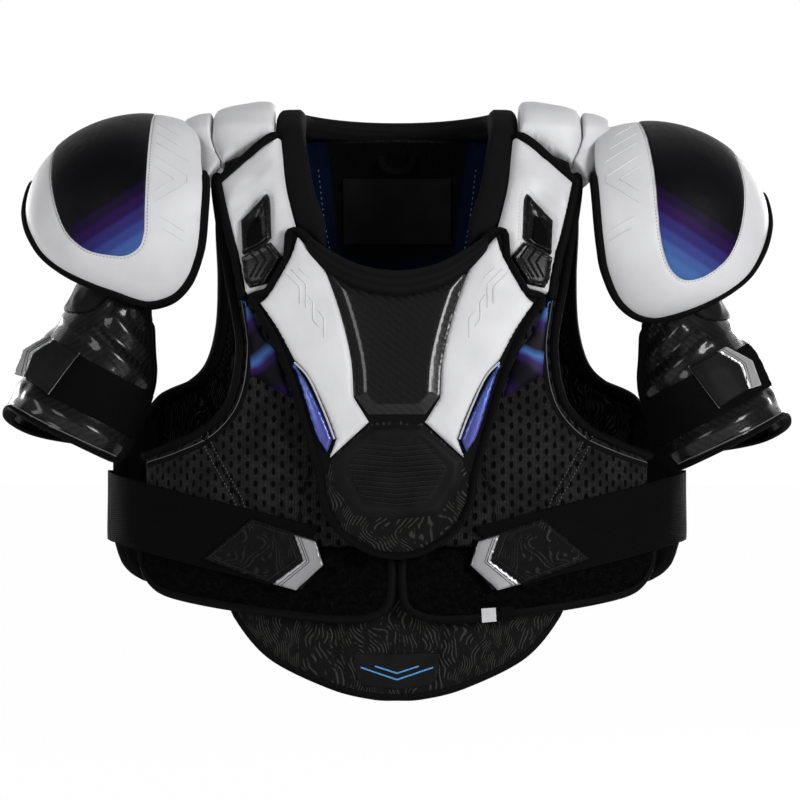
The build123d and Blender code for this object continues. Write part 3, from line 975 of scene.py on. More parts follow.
def bothFaces(points, behind=None):
    # a front line on a chart that runs over the top, closed by its mirrored line at the back
    mirrored = [Vector((point.x, -point.y, 0)) for point in reversed(behind or points)]
    return evenly(points + mirrored, making["step"], closed=True)


def moved(points, distance):
    # an open line moved to its right-hand side
    made = []
    for i, point in enumerate(points):
        ahead, behind = points[min(i + 1, len(points) - 1)], points[max(i - 1, 0)]
        heading = (ahead - behind).normalized()
        made.append(point + Vector((heading.y, -heading.x, 0)) * distance)
    return made


def turning(points):
    # twice an outline's area, positive when it goes round anticlockwise
    return sum(a.x * b.y - b.x * a.y for a, b in zip(points, points[1:] + points[:1]))


def outset(points, distance):
    # a closed outline moved outwards
    around = [points[-1]] + points + points[:2]
    return moved(around, distance if turning(points) > 0 else -distance)[1:-1]


def mirroredLine(points):
    return [(-x, z) for x, z in reversed(points[1:])] + points


sides = {"right": -1, "left": 1}
front, back = Torso(1, -1), Torso(1, 1)

# chest: a mesh cover, a brushed loop panel below it and a thin lining, on each side
chest = {
    "layer": (0, 10),
    "cover": outline(
        [97, -14], (91, -54), [83, -87], [58, -109], (30, -138), [4, -146], [4, -334], [198, -334],
        [198, -264], (172, -255), (148, -243), (131, -226), (124, -208), (121, -186), (122, -165),
        (130, -122), (140, -60), [138, -32],
    ),
    "armhole": [
        (199, -265), (172, -255), (148, -243), (131, -226), (124, -208), (121, -186), (122, -165),
        (130, -122), (140, -60), (140, -42),
    ],
    "piping": [
        (198, -270), (170, -260.5), (144, -248), (126.5, -230), (118.5, -210), (115.5, -186), (116.5, -165),
        (124.5, -122),
    ],
    "seam": [(150, -247), (140, -266), (123, -296), (118, -312)],
    "sideSeam": [(60, -262), (72, -290), (76, -330)],
    "inset": outline([119, -142], (105, -167), (92, -186), [82, -219], [114, -201], (116, -171)),
    "loop": outline(
        [4, -333], [4, -364], (8, -380), [22, -388], (52, -389.5), (129, -381), [176, -373], (192, -366),
        [202, -352], [204, -336],
    ),
    "loopHem": [
        (4.5, -334), (4.5, -362), (8, -379), (22, -387), (52, -388.5), (129, -380), (176, -372),
        (192, -365), (201.5, -351), (203.5, -336),
    ],
    "liner": outline(
        [92, -93], [60, -113], (30, -142), [6, -152], [6, -376], [190, -360], [190, -266], (142, -247),
        (120, -212), (117, -171), (124, -122), [130, -70], [98, -60],
    ),
    "tag": outline([65, -381], [76, -380.4], [76.6, -391], [65.6, -391.8]),
    "tagShift": 14.6,
    "tagSlope": 0.07,
}


def makeChest(name, side):
    chart = Torso(side)
    top = chest["layer"][1]
    seams = [(flatLine(chart, chest[part], top), 1.4, -2.4) for part in ("seam", "sideSeam")]
    cover = pad(
        f"{name}_chest_cover", "vest", "chestMesh", chart, oneSide(chart, chest["cover"], top),
        chest["layer"], 3.2, f"{name}_chest_panel", 0.9, rim=5, puff=1.8, lines=seams, waves=(1.0, 26),
    )
    armhole = flatLine(chart, chest["armhole"], 6)
    band(f"{name}_armhole_binding", "vest", "tape", chart, armhole, 6.2, 3.6, 6.8, taper=2)
    piping = flatLine(chart, chest["piping"], top)
    band(
        f"{name}_armhole_piping", "vest", "paleThread", chart, piping, above(cover, 0.1),
        0.32, 0.4, segments=6,
    )
    band(
        f"{name}_armhole_trim", "vest", "tape", chart, moved(piping, -2.2),
        above(cover, -0.2), 2.2, 1.0, segments=8,
    )
    pad(
        f"{name}_chest_inset", "vest", "inset", chart, oneSide(chart, chest["inset"], top + 2),
        (top - 1, top + 2.6), 3, rim=2, puff=0.8, waves=(0.8, 18),
    )
    rows = [
        (chart, moved(flatLine(chart, chest["seam"], top), offset), above(cover, 0.1)) for offset in (-3, 3)
    ]
    sewn(f"{name}_chest_stitching", "vest", "paleThread", rows, 1.8, 0.3, slot="mesh_fabric")
    for part in ("seam", "sideSeam"):
        band(
            f"{name}_chest_{part}_piping", "vest", "tape", chart, flatLine(chart, chest[part], top),
            above(cover, 0.4), 1.3, 1.0, segments=8,
        )

    pad(
        f"{name}_loop_cover", "vest", "loop", chart, oneSide(chart, chest["loop"], top), (0, 9.5), 4,
        f"{name}_loop_panel", 0.8, rim=4, puff=1.2, waves=(1.2, 30),
    )
    band(f"{name}_loop_hem", "vest", "tape", chart, flatLine(chart, chest["loopHem"], top), 5, 4.2, 6.0)
    pad(
        f"{name}_chest_lining", "vest", "lining", chart, oneSide(chart, chest["liner"], 0), (-4, -0.5), 6,
        f"{name}_chest_liner", 0.5,
    )
    if side > 0:
        for part, shift, finish in (("pale", 0, "whiteThread"), ("dark", chest["tagShift"], "elastic")):
            tag = [[(x + shift, z + shift * chest["tagSlope"]) for x, z in run] for run in chest["tag"]]
            pad(
                f"{part}_side_tag", "vest", finish, chart, oneSide(chart, tag, top + 1),
                (top + 1.2, top + 1.9), 3, rim=0.6, rimHeight=0.7, slot="label",
            )


# shoulders: white clavicle panels with strap guides and pull tabs, pads over the arch, padded collar strips
shoulder = {
    "layer": (10.5, 16.5),
    "clavicle": outline(
        [96, -11], (91, -52), [82, -86], [99, -134], [121, -138], (123, -122), (131, -92), [141, -49],
        (124, -34), (108, -19),
    ),
    "outerEdge": [(120, -142), (123, -122), (131, -92), (137, -66), (141, -49)],
    "topEdge": [(141, -49), (124, -34), (108, -19), (95, -10)],
    "fold": [(97, -38), (108, -52), (126, -62)],
    "guide": outline([122.5, -80], [103, -59], (100.5, -67), [99, -94], [104, -98], [121, -107]),
    "guideWeb": outline([118, -83], [108, -73], [105, -96], [117, -102]),
    "tab": outline([121.5, -109], [99.5, -97.5], [90, -109], [102, -130], [115, -133], [119, -127]),
    "tabRidges": [
        [(103, -99), (96, -109), (106, -125)], [(108.5, -102), (102, -111), (110, -125)],
        [(114, -105), (108, -113), (114, -125)],
    ],
    "innerArch": outline((97, -8), (109, -10), (124, -20), [138, -30], (143, -20), (146, -8)),
    "outerArch": outline((147.2, -8), (144.2, -20), [139.4, -30], [150, -45], (158, -34), (170, -4)),
    "collar": outline(
        (72.5, 18), (72, -4), (65.5, -50), [56, -85], [55, -108], [81, -86], (89, -54), (95, -14), (96, 18),
    ),
}


def makeShoulder(name, side):
    chart, arch = Torso(side), Arch(side)
    top = shoulder["layer"][1]
    guide = oneSide(chart, shoulder["guide"], 19)
    folds = [(outset(guide, 5), 3.2, 1.4), (flatLine(chart, shoulder["fold"], top), 5, 1.6)]
    cover = pad(
        f"{name}_clavicle_cover", "vest", "white", chart, oneSide(chart, shoulder["clavicle"], top + 2),
        (9.5, top), 2.2, f"{name}_clavicle_panel", 0.9, rim=3.5, puff=3.6, puffWidth=18, lines=folds,
        dents=[(corners(chart, [(112, -66), (111, -99)], 19), 22, -10)],
    )
    edge = flattenAll(chart, smoothRun(shoulder["outerEdge"]) + smoothRun(shoulder["topEdge"])[1:], 16)
    band(f"{name}_clavicle_binding", "vest", "tape", chart, edge, 15, 3.8, 4.6, taper=2)

    pad(
        f"{name}_guide_frame", "vest", "glossBlack", chart, guide, (12, 18.6), 1.4, f"{name}_strap_guide",
        rim=1.2, lines=[(outset(guide, -2.2), 1.3, 1.5)],
        dents=[(corners(chart, [(111, -78), (111, -95)], 19), 7, -2.6)],
    )
    pad(
        f"{name}_guide_web", "vest", "elastic", chart, oneSide(chart, shoulder["guideWeb"], 19),
        (14, 19.4), 2.2, rim=1.0, dents=[(corners(chart, [(118, -83), (108, -73)], 19), 9, -3)],
    )
    tab = oneSide(chart, shoulder["tab"], 21)
    ridges = [corners(chart, ridge, 21) for ridge in shoulder["tabRidges"]]
    face = pad(
        f"{name}_pull_tab", f"{name}_sternum_tab", "glossBlack", chart, tab, (17.6, 20.8), 1.4,
        f"{name}_sternum_tab", rim=1.4, lines=[(outset(tab, -1.6), 1.0, 0.9)],
    )
    relief(f"{name}_pull_tab_ridges", f"{name}_sternum_tab", "glossBlack", chart, ridges, face, 0.95, 0.1)
    sewn(
        f"{name}_clavicle_stitching", "vest", "whiteThread",
        [(chart, outset(guide, 4.2), above(cover, 0.05))], 1.9, 0.32,
    )

    for part, cell, rim, puff in (("inner", 2.4, 4, 2.0), ("outer", 2.0, 2.4, 1.2)):
        line = flattenAll(arch, trace(shoulder[f"{part}Arch"]), top)
        pad(
            f"{name}_{part}_arch_cover", "vest", "white", arch, bothFaces(line), (2, top - 0.5), cell,
            f"{name}_arch_pad_{part}", 0.9, rim=rim, rimHeight=0.6, puff=puff, puffWidth=16,
        )
    collar = evenly(flattenAll(arch, trace(shoulder["collar"]), 13), making["step"], True)
    pad(
        f"{name}_collar_roll", "vest", "knit", arch, collar, (-4, 9.5), 2.4, f"{name}_collar_strip", 0.9,
        rim=5.5, rimHeight=0.35, puff=0.8, waves=(0.5, 18),
    )


neck = {
    "ring": (84, 53),
    "forward": 3,
    "height": -4.5,
    "lift": 6,  # of the ends, above the middle of the back
    "liftCurve": 2.2,
    "band": (9.5, 10.5),
    "steps": 60,
}


def makeNeckRoll():
    path = []
    for i in range(neck["steps"] + 1):
        angle = pi * i / neck["steps"]
        place = Vector((
            neck["ring"][0] * cos(angle), neck["ring"][1] * sin(angle) - neck["forward"],
            neck["height"] + neck["lift"] * abs(cos(angle)) ** neck["liftCurve"],
        ))
        heading = Vector((-neck["ring"][0] * sin(angle), neck["ring"][1] * cos(angle), 0)).normalized()
        outward = Vector((heading.y, -heading.x, 0))
        path.append(Matrix((heading.cross(outward), outward, heading)).transposed().to_4x4())
        path[-1].translation = place
    bm = bmesh.new()
    sweep(bm, path, neck["band"][0], neck["band"][1], segments=24, taper=4)
    finishPiece(bm, "neck_roll", "vest", "knit", "back_collar")


# sternum guard: foam, a bound edge, carbon and lower plates, white wings with foil and the neckline roll
sternum = {
    "edge": outline(
        (0, -123), (21, -121), (41, -115.5), (59, -105), [70, -94], (77, -88.5), [83.5, -90],
        [84.5, -109.5], [99.5, -136.5], [113, -140], (95.5, -169), (80.5, -205), (66.5, -251.5),
        [58.5, -281], (55.5, -300), (44, -320), (20.5, -336), (0, -340),
    ),
    "wing": outline(
        [78, -94], (61, -113), (55, -124), (44, -155), (36, -189), [34, -218], [22, -237], [52, -264],
        [47, -250], (55, -229), (68, -203), [80, -189], (93, -165), [107, -145], (99, -137), (84, -111),
    ),
    "wingMarks": [
        [(86, -121), (74, -133), (74, -146)], [(81, -119), (69.5, -131), (69.5, -149)],
        [(68, -139), (64, -144), (64, -158), (60, -163)], [(60, -151), (55.5, -157), (55.5, -172)],
        [(75, -118), (67, -126)],
    ],
    "insert": outline([80, -192], (71, -205), (58, -231), [50, -250], [54, -260], (63, -244), (75, -206)),
    "insertPiping": [(79, -191), (68, -203), (56, -229), (48, -250)],
    "plate": outline(
        (0, -136), (27, -131), (46, -122), [53, -117], [54, -125], (43, -157), (35, -190), [33, -217],
        [22, -231], (0, -231),
    ),
    "lower": outline(
        (0, -236), [20, -238], [50, -264], [56, -280], (53, -299), (42, -319), (19, -334), (0, -338),
    ),
    "hexPlate": outline((0, -238.5), [19, -239.5], [51, -266], [50, -284], [33, -309], (0, -312)),
    "hexCore": outline((0, -250), [18, -250], [40, -272], [26, -299], (0, -300)),
    "roll": [(0, -130.5), (23, -127), (42, -119.5), (61, -106), (70, -95)],
    # at the ends, and what the middle adds
    "rollWidth": (3.2, 7.0),
    "rollHeight": (3.0, 3.8),
    "rollSwell": 0.6,
    # the ribs of the hexagon plate: their heights, their widest place and half width, and how fast they
    # get shorter above and below it
    "ribs": range(-297, -251, 4),
    "ribMiddle": -272,
    "ribReach": 38,
    "ribSlopes": (0.62, 0.5),
    "ribDip": 3,
}


def makeSternum():
    body = "sternum_guard"
    pad(
        "sternum_foam", body, "woven", front, onCentre(front, sternum["edge"], 22), (17, 23), 4,
        "sternum_backing", 0.8, slot="foam_backing",
    )
    edge = evenly(onCentre(front, sternum["edge"], 21), 3, True)
    band("sternum_edge_binding", body, "tape", front, edge, 21.5, 3.2, 5.0, True, node="sternum_binding")
    pad(
        "sternum_carbon_plate", body, "carbon", front, onCentre(front, sternum["plate"], 27), (21, 27.4),
        1.6, "sternum_plate", rim=7, rimHeight=0.45, sharp=True, puff=0.6, puffWidth=40,
    )
    pad(
        "lower_base", body, "print", front, onCentre(front, sternum["lower"], 26), (21, 24.4), 2.4,
        "lower_plate", rim=3, rimHeight=0.5, slot="black_moulded",
    )
    core = onCentre(front, sternum["hexCore"], 26)
    hexTop = pad(
        "hexagon_plate", body, "rubber", front, onCentre(front, sternum["hexPlate"], 26), (23, 27.2), 1.6,
        rim=4.5, rimHeight=0.25, sharp=True, lines=[(core + core[:1], 1.4, -1.3)],
    )
    ribs = []
    for z in sternum["ribs"]:
        away = z - sternum["ribMiddle"]
        reach = sternum["ribReach"] - abs(away) * sternum["ribSlopes"][0 if away > 0 else 1]
        ribs.append(corners(front, [(-reach, z), (0, z - sternum["ribDip"]), (reach, z)], 27))
    relief("hexagon_ribs", body, "glossBlack", front, ribs, hexTop, 0.8, -0.1)

    # the padded roll along the neckline swells towards the middle
    path = frames(front, evenly(flatLine(front, mirroredLine(sternum["roll"]), 26), 3), 25.5)
    bm = bmesh.new()
    width, height = (
        lambda f, size=size: size[0] + size[1] * sin(pi * f) ** sternum["rollSwell"]
        for size in (sternum["rollWidth"], sternum["rollHeight"])
    )
    sweep(bm, path, width, height, segments=18, taper=3)
    finishPiece(bm, "neckline_padding", body, "knit", "neckline_roll")

    for name, side in sides.items():
        chart = Torso(side)
        wing = pad(
            f"{name}_wing_cover", body, "white", chart, oneSide(chart, sternum["wing"], 28), (22, 27.2),
            1.8, f"{name}_sternum_wing", 0.95, rim=3.2, rimHeight=0.35, puff=2.2, puffWidth=16,
        )
        marks = [corners(chart, mark, 28) for mark in sternum["wingMarks"]]
        relief(f"{name}_wing_relief", body, "white", chart, marks, wing, 0.7, 0.1)
        pad(
            f"{name}_wing_foil", body, "foil", chart, oneSide(chart, sternum["insert"], 26), (22, 26.2),
            2.2, f"{name}_wing_insert", rim=1.4, puff=0.8, puffWidth=8,
        )
        band(
            f"{name}_wing_piping", body, "whiteThread", chart,
            flatLine(chart, sternum["insertPiping"], 27), 26.8, 0.8, 0.9, segments=8,
        )


# belly straps with their grips, and the extension pad
belly = {
    "strap": outline(
        [236, -276], (183, -289), (121, -303), [60, -318], [98, -364], (121, -357), (183, -343),
        [236, -330],
    ),
    "grip": outline([113, -312], [62, -328], [58, -347], [74, -366], [96, -362], [150, -343]),
    "gripLines": [
        [(112, -315), (84, -324), (77, -343), (100, -359)], [(146, -342.5), (113, -315.5)],
        [(144, -342), (102, -357)],
    ],
    "chevron": outline([79, -324], [63, -329], [57, -347], [78, -366.5], [96, -362], [72, -344]),
    "chevronLines": [
        [(76.3, -325), (69.2, -344.2), (92, -362.6)], [(74.2, -325.6), (67.2, -344.6), (89.4, -363.2)],
    ],
}


def makeBellyStrap(name, side):
    chart, body = Torso(side), f"{name}_belly_strap"
    pad(
        f"{name}_belly_band", body, "elastic", chart, oneSide(chart, belly["strap"], 15), (12.5, 15), 4,
        f"{name}_belly_strap", rim=1, rimHeight=0.6, waves=(0.9, 34),
    )
    grip = pad(
        f"{name}_belly_grip", body, "tabPrint", chart, oneSide(chart, belly["grip"], 18), (15.6, 18), 2.4,
        f"{name}_belly_tab", rim=1.6, puff=0.5,
    )
    seams = [corners(chart, line, 18) for line in belly["gripLines"]]
    relief(f"{name}_belly_grip_lines", body, "glossBlack", chart, seams, grip, 0.5, 0.05)
    chevron = pad(
        f"{name}_belly_chevron", body, "silver", chart, oneSide(chart, belly["chevron"], 19), (17, 19.4),
        2.0, rim=1,
    )
    grooves = [corners(chart, line, 19) for line in belly["chevronLines"]]
    relief(f"{name}_belly_chevron_lines", body, "glossBlack", chart, grooves, chevron, 0.3, 0.0)


extension = {
    "layer": (-10.5, -5),
    "cover": outline(
        (0, -300), [100, -300], [129, -374], (125, -390), (98, -419), (52, -441), (20, -449), (0, -450),
    ),
    "hem": [
        (113, -334), (122, -356), (128, -374), (124, -390), (98, -419), (52, -441), (20, -449), (0, -450),
    ],
    "seams": [[(-52, -330), (-49, -405), (-40, -438)], [(46, -330), (37, -395), (26, -440)]],
    "patch": outline((0, -416), [33, -416], [31, -434], (24, -441), (0, -444)),
    "chevrons": [[(-28, -427), (0, -436.5), (28, -427)], [(-17, -426), (0, -431.5), (17, -426)]],
}


def makeExtension():
    body = "extension"
    seams = [(flatLine(front, line, -5), 2.6, -2.8) for line in extension["seams"]]
    cover = pad(
        "extension_cover", body, "print", front, onCentre(front, extension["cover"], -5),
        extension["layer"], 2.5, "extension_pad", 0.8, rim=4, puff=2.0, lines=seams, waves=(0.7, 30),
    )
    rows = [(front, moved(flatLine(front, line, -5), 2.6), above(cover, 0.1)) for line in extension["seams"]]
    sewn("extension_stitching", body, "darkThread", rows)
    hem = flatLine(front, mirroredLine(extension["hem"][::-1]), -6)
    band("extension_hem", body, "tape", front, hem, -7.7, 3.4, 3.8, taper=2)
    pad(
        "extension_badge", body, "rubber", front, onCentre(front, extension["patch"], -3.5), (-4.6, -2.0),
        3, "extension_patch", rim=0.8, slot="label",
    )
    for i, line in enumerate(extension["chevrons"]):
        band(
            f"extension_chevron_{i + 1}", body, "skyBlue", front, corners(front, line, -2), -1.8, 0.62,
            0.4, spacing=1.5, segments=8,
        )


# back: panel, lining, spine guard, wings, kidney pad and strap ends
backShape = {
    "panel": [
        [(0, -7), (50, -6), (80, -1), (104, 1)], [(104, 1), (122, -8), (140, -30)],
        [(140, -34), (143, -80), (142, -121), (144, -160), (152, -190), (166, -206), (188, -217)],
        [(188, -217), (204, -236), (223, -246)], [(223, -246), (227, -256)], [(227, -256), (226, -332)],
        [(226, -332), (221, -350), (209, -362), (190, -367)], [(190, -367), (0, -367)],
    ],
    "armhole": [
        (141, -44), (143, -80), (142, -121), (144, -160), (152, -190), (166, -206), (188, -217),
        (204, -236), (225, -247),
    ],
    "hemTop": -258,
    "liner": outline(
        (0, -8), [84, -10], [128, -60], (136, -121), (139, -190), [192, -226], [192, -360], (0, -360),
    ),
    "linerSeams": [[(64, -34), (60, -70), (54, -104)], [(84, -40), (80, -70), (72, -104)]],
    "spine": outline((0, -44), [40, -52], (46, -120), (30, -200), [22, -246], (0, -252)),
    "wing": outline([48, -54], [134, -56], (133, -121), [128, -176], [40, -214], (52, -130)),
    "lower": outline((0, -262), [70, -256], [150, -270], [150, -356], (0, -364)),
    "anchor": outline([236, -276], [160, -280], [160, -330], [236, -327]),
    "quilting": [
        [(60, -222), (150, -236), (186, -240)], [(156, -262), (158, -372)], [(138, -60), (136, -200)],
    ],
    "label": outline((0, -40), [44, -40], [44, -92], (0, -92)),
    "spineRibs": range(-232, -60, 21),
    "kidneySeams": (-280, -304, -328),
    # one seam of a wing, and the distance down to each of the next three
    "wingSeam": [(60, -90), (92, -74), (126, -90)],
    "wingStep": 22,
}


def makeBack():
    quilting = [
        (flatLine(back, [(side * x, z) for x, z in line], 10), 3.6, -2.6) for side in (-1, 1)
        for line in backShape["quilting"]
    ]
    outline = onCentre(back, backShape["panel"], 10)
    pad(
        "back_cover", "vest", "sideMesh", back, outline, (0, 10), 4.5, "back_panel", 0.85, rim=5,
        puff=1.5, lines=quilting, waves=(0.8, 30),
    )
    hem = [point for point in outline if point.y < backShape["hemTop"]]
    band("back_hem", "vest", "tape", back, hem, 5, 4.2, 6.0, taper=2)
    pad(
        "back_lining", "vest", "lining", back, onCentre(back, backShape["liner"], 0), (-4, -0.5), 5,
        "back_liner", 0.5, puff=-0.6,
    )
    ribs = [
        (flatLine(back, [(-42, z), (0, z - 12), (42, z)], 18), 2.0, -3.2) for z in backShape["spineRibs"]
    ]
    pad(
        "spine_moulding", "vest", "black", back, onCentre(back, backShape["spine"], 16), (8, 14), 2.4,
        "spine_guard", rim=6, puff=3.5, lines=ribs,
    )
    quilt = [
        (flatLine(back, [(-140, z), (0, z - 6), (140, z)], 16), 3.4, -3.2) for z in backShape["kidneySeams"]
    ]
    pad(
        "kidney_pad", "vest", "woven", back, onCentre(back, backShape["lower"], 15), (8, 14.5), 2.8,
        "lower_back_pad", 0.85, rim=6, puff=2, lines=quilt, slot="back_shell",
    )
    pad(
        "plain_label", "vest", "rubber", back, onCentre(back, backShape["label"], -5), (-5.6, -4.6), 5,
        "neck_label", rim=1, slot="label",
    )
    rows = []
    for name, side in sides.items():
        chart = Torso(side, 1)
        band(
            f"{name}_back_armhole_binding", "vest", "tape", chart,
            flatLine(chart, backShape["armhole"], 6), 5.5, 3.8, 6.8, taper=2,
        )
        marks = [[(x, z - backShape["wingStep"] * i) for x, z in backShape["wingSeam"]] for i in range(4)]
        pad(
            f"{name}_back_wing", "vest", "woven", chart, oneSide(chart, backShape["wing"], 15), (8, 14.5),
            2.6, "back_wings", 0.85, rim=5, puff=2.2,
            lines=[(corners(chart, mark, 15), 3.0, -2.8) for mark in marks], slot="back_shell",
        )
        pad(
            f"{name}_anchor_band", "vest", "elastic", chart, oneSide(chart, backShape["anchor"], 15),
            (12.5, 15), 5, "strap_anchors", rim=1, rimHeight=0.6,
        )
        rows += [(chart, flatLine(chart, line, -4), -4.6) for line in backShape["linerSeams"]]
    sewn("lining_stitching", "vest", "blueThread", rows, 2.4, 0.4, 4.4)


# shoulder caps: a white shell with a colour inlay, a lining and a bound edge
cap = {
    "rightShell": [
        (173, 5), (163, 0), (155, -14), (153, -32), (151, -52), (152, -74), (154, -97), (157.8, -112),
        (163.4, -125), (173, -136.5), (184, -142), (195.6, -144), (207, -141.5), (222, -136), (237, -130.8),
        (256, -122.5), (270.5, -114), (281.5, -104.3), (289, -93), (294, -82), (296.6, -71), (296.3, -62),
        (294.5, -55), (292, -48.5),
    ],
    "leftShell": [
        (173, 3), (163, -2), (156.5, -14), (154.8, -32), (156.5, -52), (158.7, -82), (161, -102),
        (164.4, -119.5), (173.8, -140.3), (187, -152.6), (202, -156.9), (217, -154.4), (234.4, -148.8),
        (251.4, -141.2), (268.4, -130.8), (280.5, -119.5), (289, -105), (294, -92), (296.8, -80),
        (296.6, -71), (295, -64), (292.5, -57.5),
    ],
    # the outer end, beyond one flat place and within the other, follows its own line
    "openBeyond": 70,
    "openWithin": 78,
    "behindShift": 9,
    "shiftFullFrom": 70,
    "shiftTo": 60,
    "shiftFade": 30,
    "open": [(121.5, 68), (120, 52), (116.5, 36), (111.5, 21), (107.5, 8), (106.5, 0)],
    "rightInsert": outline(
        (194, 8.3), (196, -60), [196.5, -88], (200, -100), (209, -107), (220, -108), (242, -103.5),
        (258, -91), (267, -73), (273, -50), (274.5, -32), (273.5, -20),
    ),
    "leftInsert": outline(
        (193.5, 3), (197.5, -14), (201.2, -42), (203, -66.5), [205, -89], (208, -104), (213.5, -117.5),
        (221, -125), (229, -127), (240, -124.5), (251.4, -117.6), (261, -108), (268.4, -93), (273, -74),
        (274.6, -55), (273, -38), (270, -26),
    ),
    "bindingStart": (153.5, -38),
    "bindingLayer": -3.2,
    "bindingRise": 1.6,
    "riseFrom": 70,
    "riseOver": 40,
    "neckSide": 20,
    "marks": [
        [(189, -2), (172, -12)], [(189, -10), (167, -23)], [(189, -18), (163, -33.5)],
        [(189, -29), (164, -45), (164, -50), (189, -66)], [(189, -38), (174, -47.5), (189, -57)],
        [(185, -77), (166, -88)], [(182, -86.5), (166, -96)],
    ],
}


def makeCap(name, side):
    chart, body = Cap(side), f"{name}_cap"
    line = flattenAll(chart, smoothRun(cap[f"{name}Shell"]), 0)
    line = [point for point in line if point.x < cap["openBeyond"] or point.y > cap["openWithin"]]
    line += smoothRun(cap["open"])
    # the back half's inner edge sits further out, so that the front half hides it
    behind = []
    for point in line:
        share = min(1, point.y / cap["shiftFullFrom"])
        share *= min(1, max(0, (cap["shiftTo"] - point.x) / cap["shiftFade"]))
        behind.append(point + Vector((cap["behindShift"] * share, 0, 0)))
    outline = bothFaces(line, behind)
    insert = bothFaces(flattenAll(chart, trace(cap[f"{name}Insert"]), 2))
    shell = pad(
        f"{name}_cap_cover", body, "white", chart, outline, (-3.5, -1.0), 2.0, f"{name}_cap_shell", 0.95,
        rim=4, rimHeight=0.6, puff=1.4, puffWidth=20, lines=[(outset(insert, 0.8), 1.3, -1.0)],
    )
    pad(
        f"{name}_cap_inlay", body, "capInsert", chart, insert, (-1, 1.0), 2.6, f"{name}_cap_insert",
        rim=2.0, rimHeight=0.5, puff=0.4,
    )
    pad(
        f"{name}_cap_lining", body, "woven", chart, outset(outline, -7), (-7.5, -3.7), 5,
        f"{name}_cap_liner", 0.8, rim=3,
    )
    marks = [corners(chart, mark, 0) for mark in cap["marks"]]
    relief(f"{name}_cap_relief", body, "white", chart, marks, shell, 0.55, 0.05)
    sewn(
        f"{name}_cap_stitching", body, "paleThread",
        [(chart, outset(insert, 1.9), above(shell, 0.1))], 1.6, 0.3, 2.6, slot="white_cover",
    )
    # the binding starts below the top, on the side towards the neck, and goes all round
    start = chart.flatten(*cap["bindingStart"], 0)
    ringed = [point for point in outline if abs(point.y) > abs(start.y) or point.x > cap["neckSide"]]
    first = min(range(len(ringed)), key=lambda i: (ringed[i] - start).length)
    path = moved(ringed[first:] + ringed[:first], 2.6 if turning(outline) > 0 else -2.6)

    def bindingLayer(spot):
        share = min(1, max(0, (spot.x - cap["riseFrom"]) / cap["riseOver"]))
        return cap["bindingLayer"] + cap["bindingRise"] * share

    band(
        f"{name}_cap_edge_binding", body, "tape", chart, path, bindingLayer, 4.2, 3.8,
        node=f"{name}_cap_binding", segments=14, taper=3,
    )


# biceps guards: a creased carbon wrap with a foam lip, a bound edge and an elastic strap
guard = {
    "wrap": outline(
        [-57, 30], (-57.5, -8), (-54, -34), [-44, -51], (0, -46.5), (46, -41.5), [70, -41.5], (95, -51),
        (130, -56), (165, -51), [192, -42], [226, -42], [226, 66], (150, 58), (60, 57), (34, 61), (12, 71),
        [0, 84], [-48, 84], (-54, 60),
    ),
    "sideRim": [(-53, 74), (-57, 60), (-60.5, 30), (-61.5, -8), (-58, -34), (-48, -50)],
    "lowerRim": [
        (-52, -48), (-46, -52), (0, -47.5), (46, -42.5), (70, -42.5), (95, -52), (130, -57), (165, -52),
        (192, -43), (216, -42.5), (224, -38), (226, -24), (226, 60),
    ],
    "piping": [(-44, -48.5), (0, -44.2), (46, -39.4), (68, -39.4)],
    # line, width, rise
    "creases": [
        ([(-54, 14), (-20, 25), (16, 36)], 5.5, 2.8), ([(-52, 25), (-18, 36), (6, 46)], 2.6, -1.8),
        ([(-54, 36), (-28, 46), (-4, 54)], 4.4, 2.2), ([(-54, 46), (-24, 60)], 2.6, -1.4),
        ([(-54, 56), (-28, 68)], 4, 1.6), ([(24, 33), (60, 40), (96, 46)], 4.5, 1.8),
        ([(-44, -40), (0, -32), (44, -26)], 5.5, 2.8), ([(-36, -47), (40, -37)], 2.2, -1.0),
        ([(60, -22), (110, -28), (170, -22)], 6, 2.4), ([(70, 20), (110, 32), (145, 34)], 5, 2.4),
        ([(80, 2), (120, 8), (170, 6)], 4, -1.8), ([(150, 28), (215, 18)], 4.4, 2.0),
        ([(150, -6), (212, -14)], 3.4, -1.5),
    ],
    "padding": outline([-58, -46], [222, -40], [222, 44], [-58, 44]),
    "lip": outline(
        [6, 72], (24, 52), (60, 45), (120, 44), [150, 48], [150, 72], (90, 76), (30, 77), [6, 77],
    ),
    "strap": outline([-67, -32], [52, -16], [52, 22], [-67, 6]),
    "tab": outline([14, 17.5], [42, 21.5], [53, 5], [51, -14.5], [24, -20]),
    "tabSeam": [(17, 16), (41, 19.5), (51, 4.5), (49, -13), (26, -18), (17, 16)],
    "chevron": outline([41, 21.5], [50, 23], [62.5, 5], [60.5, -15.5], [51, -14.5], [53, 5]),
    "chevronLines": [[(50.6, -14), (55.5, 5), (44, 21.5)], [(54, -14.6), (57.6, 5), (46.4, 22)]],
    "nearEdge": [(14, 18.6), (24, -20.6)],
    # how far round each guard's tab sits, and where its strap leaves the wrap
    "tabShift": {-1: 0, 1: -21},
    "tabSlope": 0.13,
    "chevronTip": 55,
    "chevronSpread": {-1: 0, 1: 3.5},
    # the left guard's chevron takes the paler copy of the silver, painted light from the key lamp on that
    # side
    "chevronFinish": {-1: "silver", 1: "paintedLitSilver"},
    "strapEnd": {-1: 52, 1: 56},
    "leaves": 36,
}


def drawn(runs, step=2.2):
    # an outline that is already in a chart's flat measures
    return evenly(trace(runs), step, True)


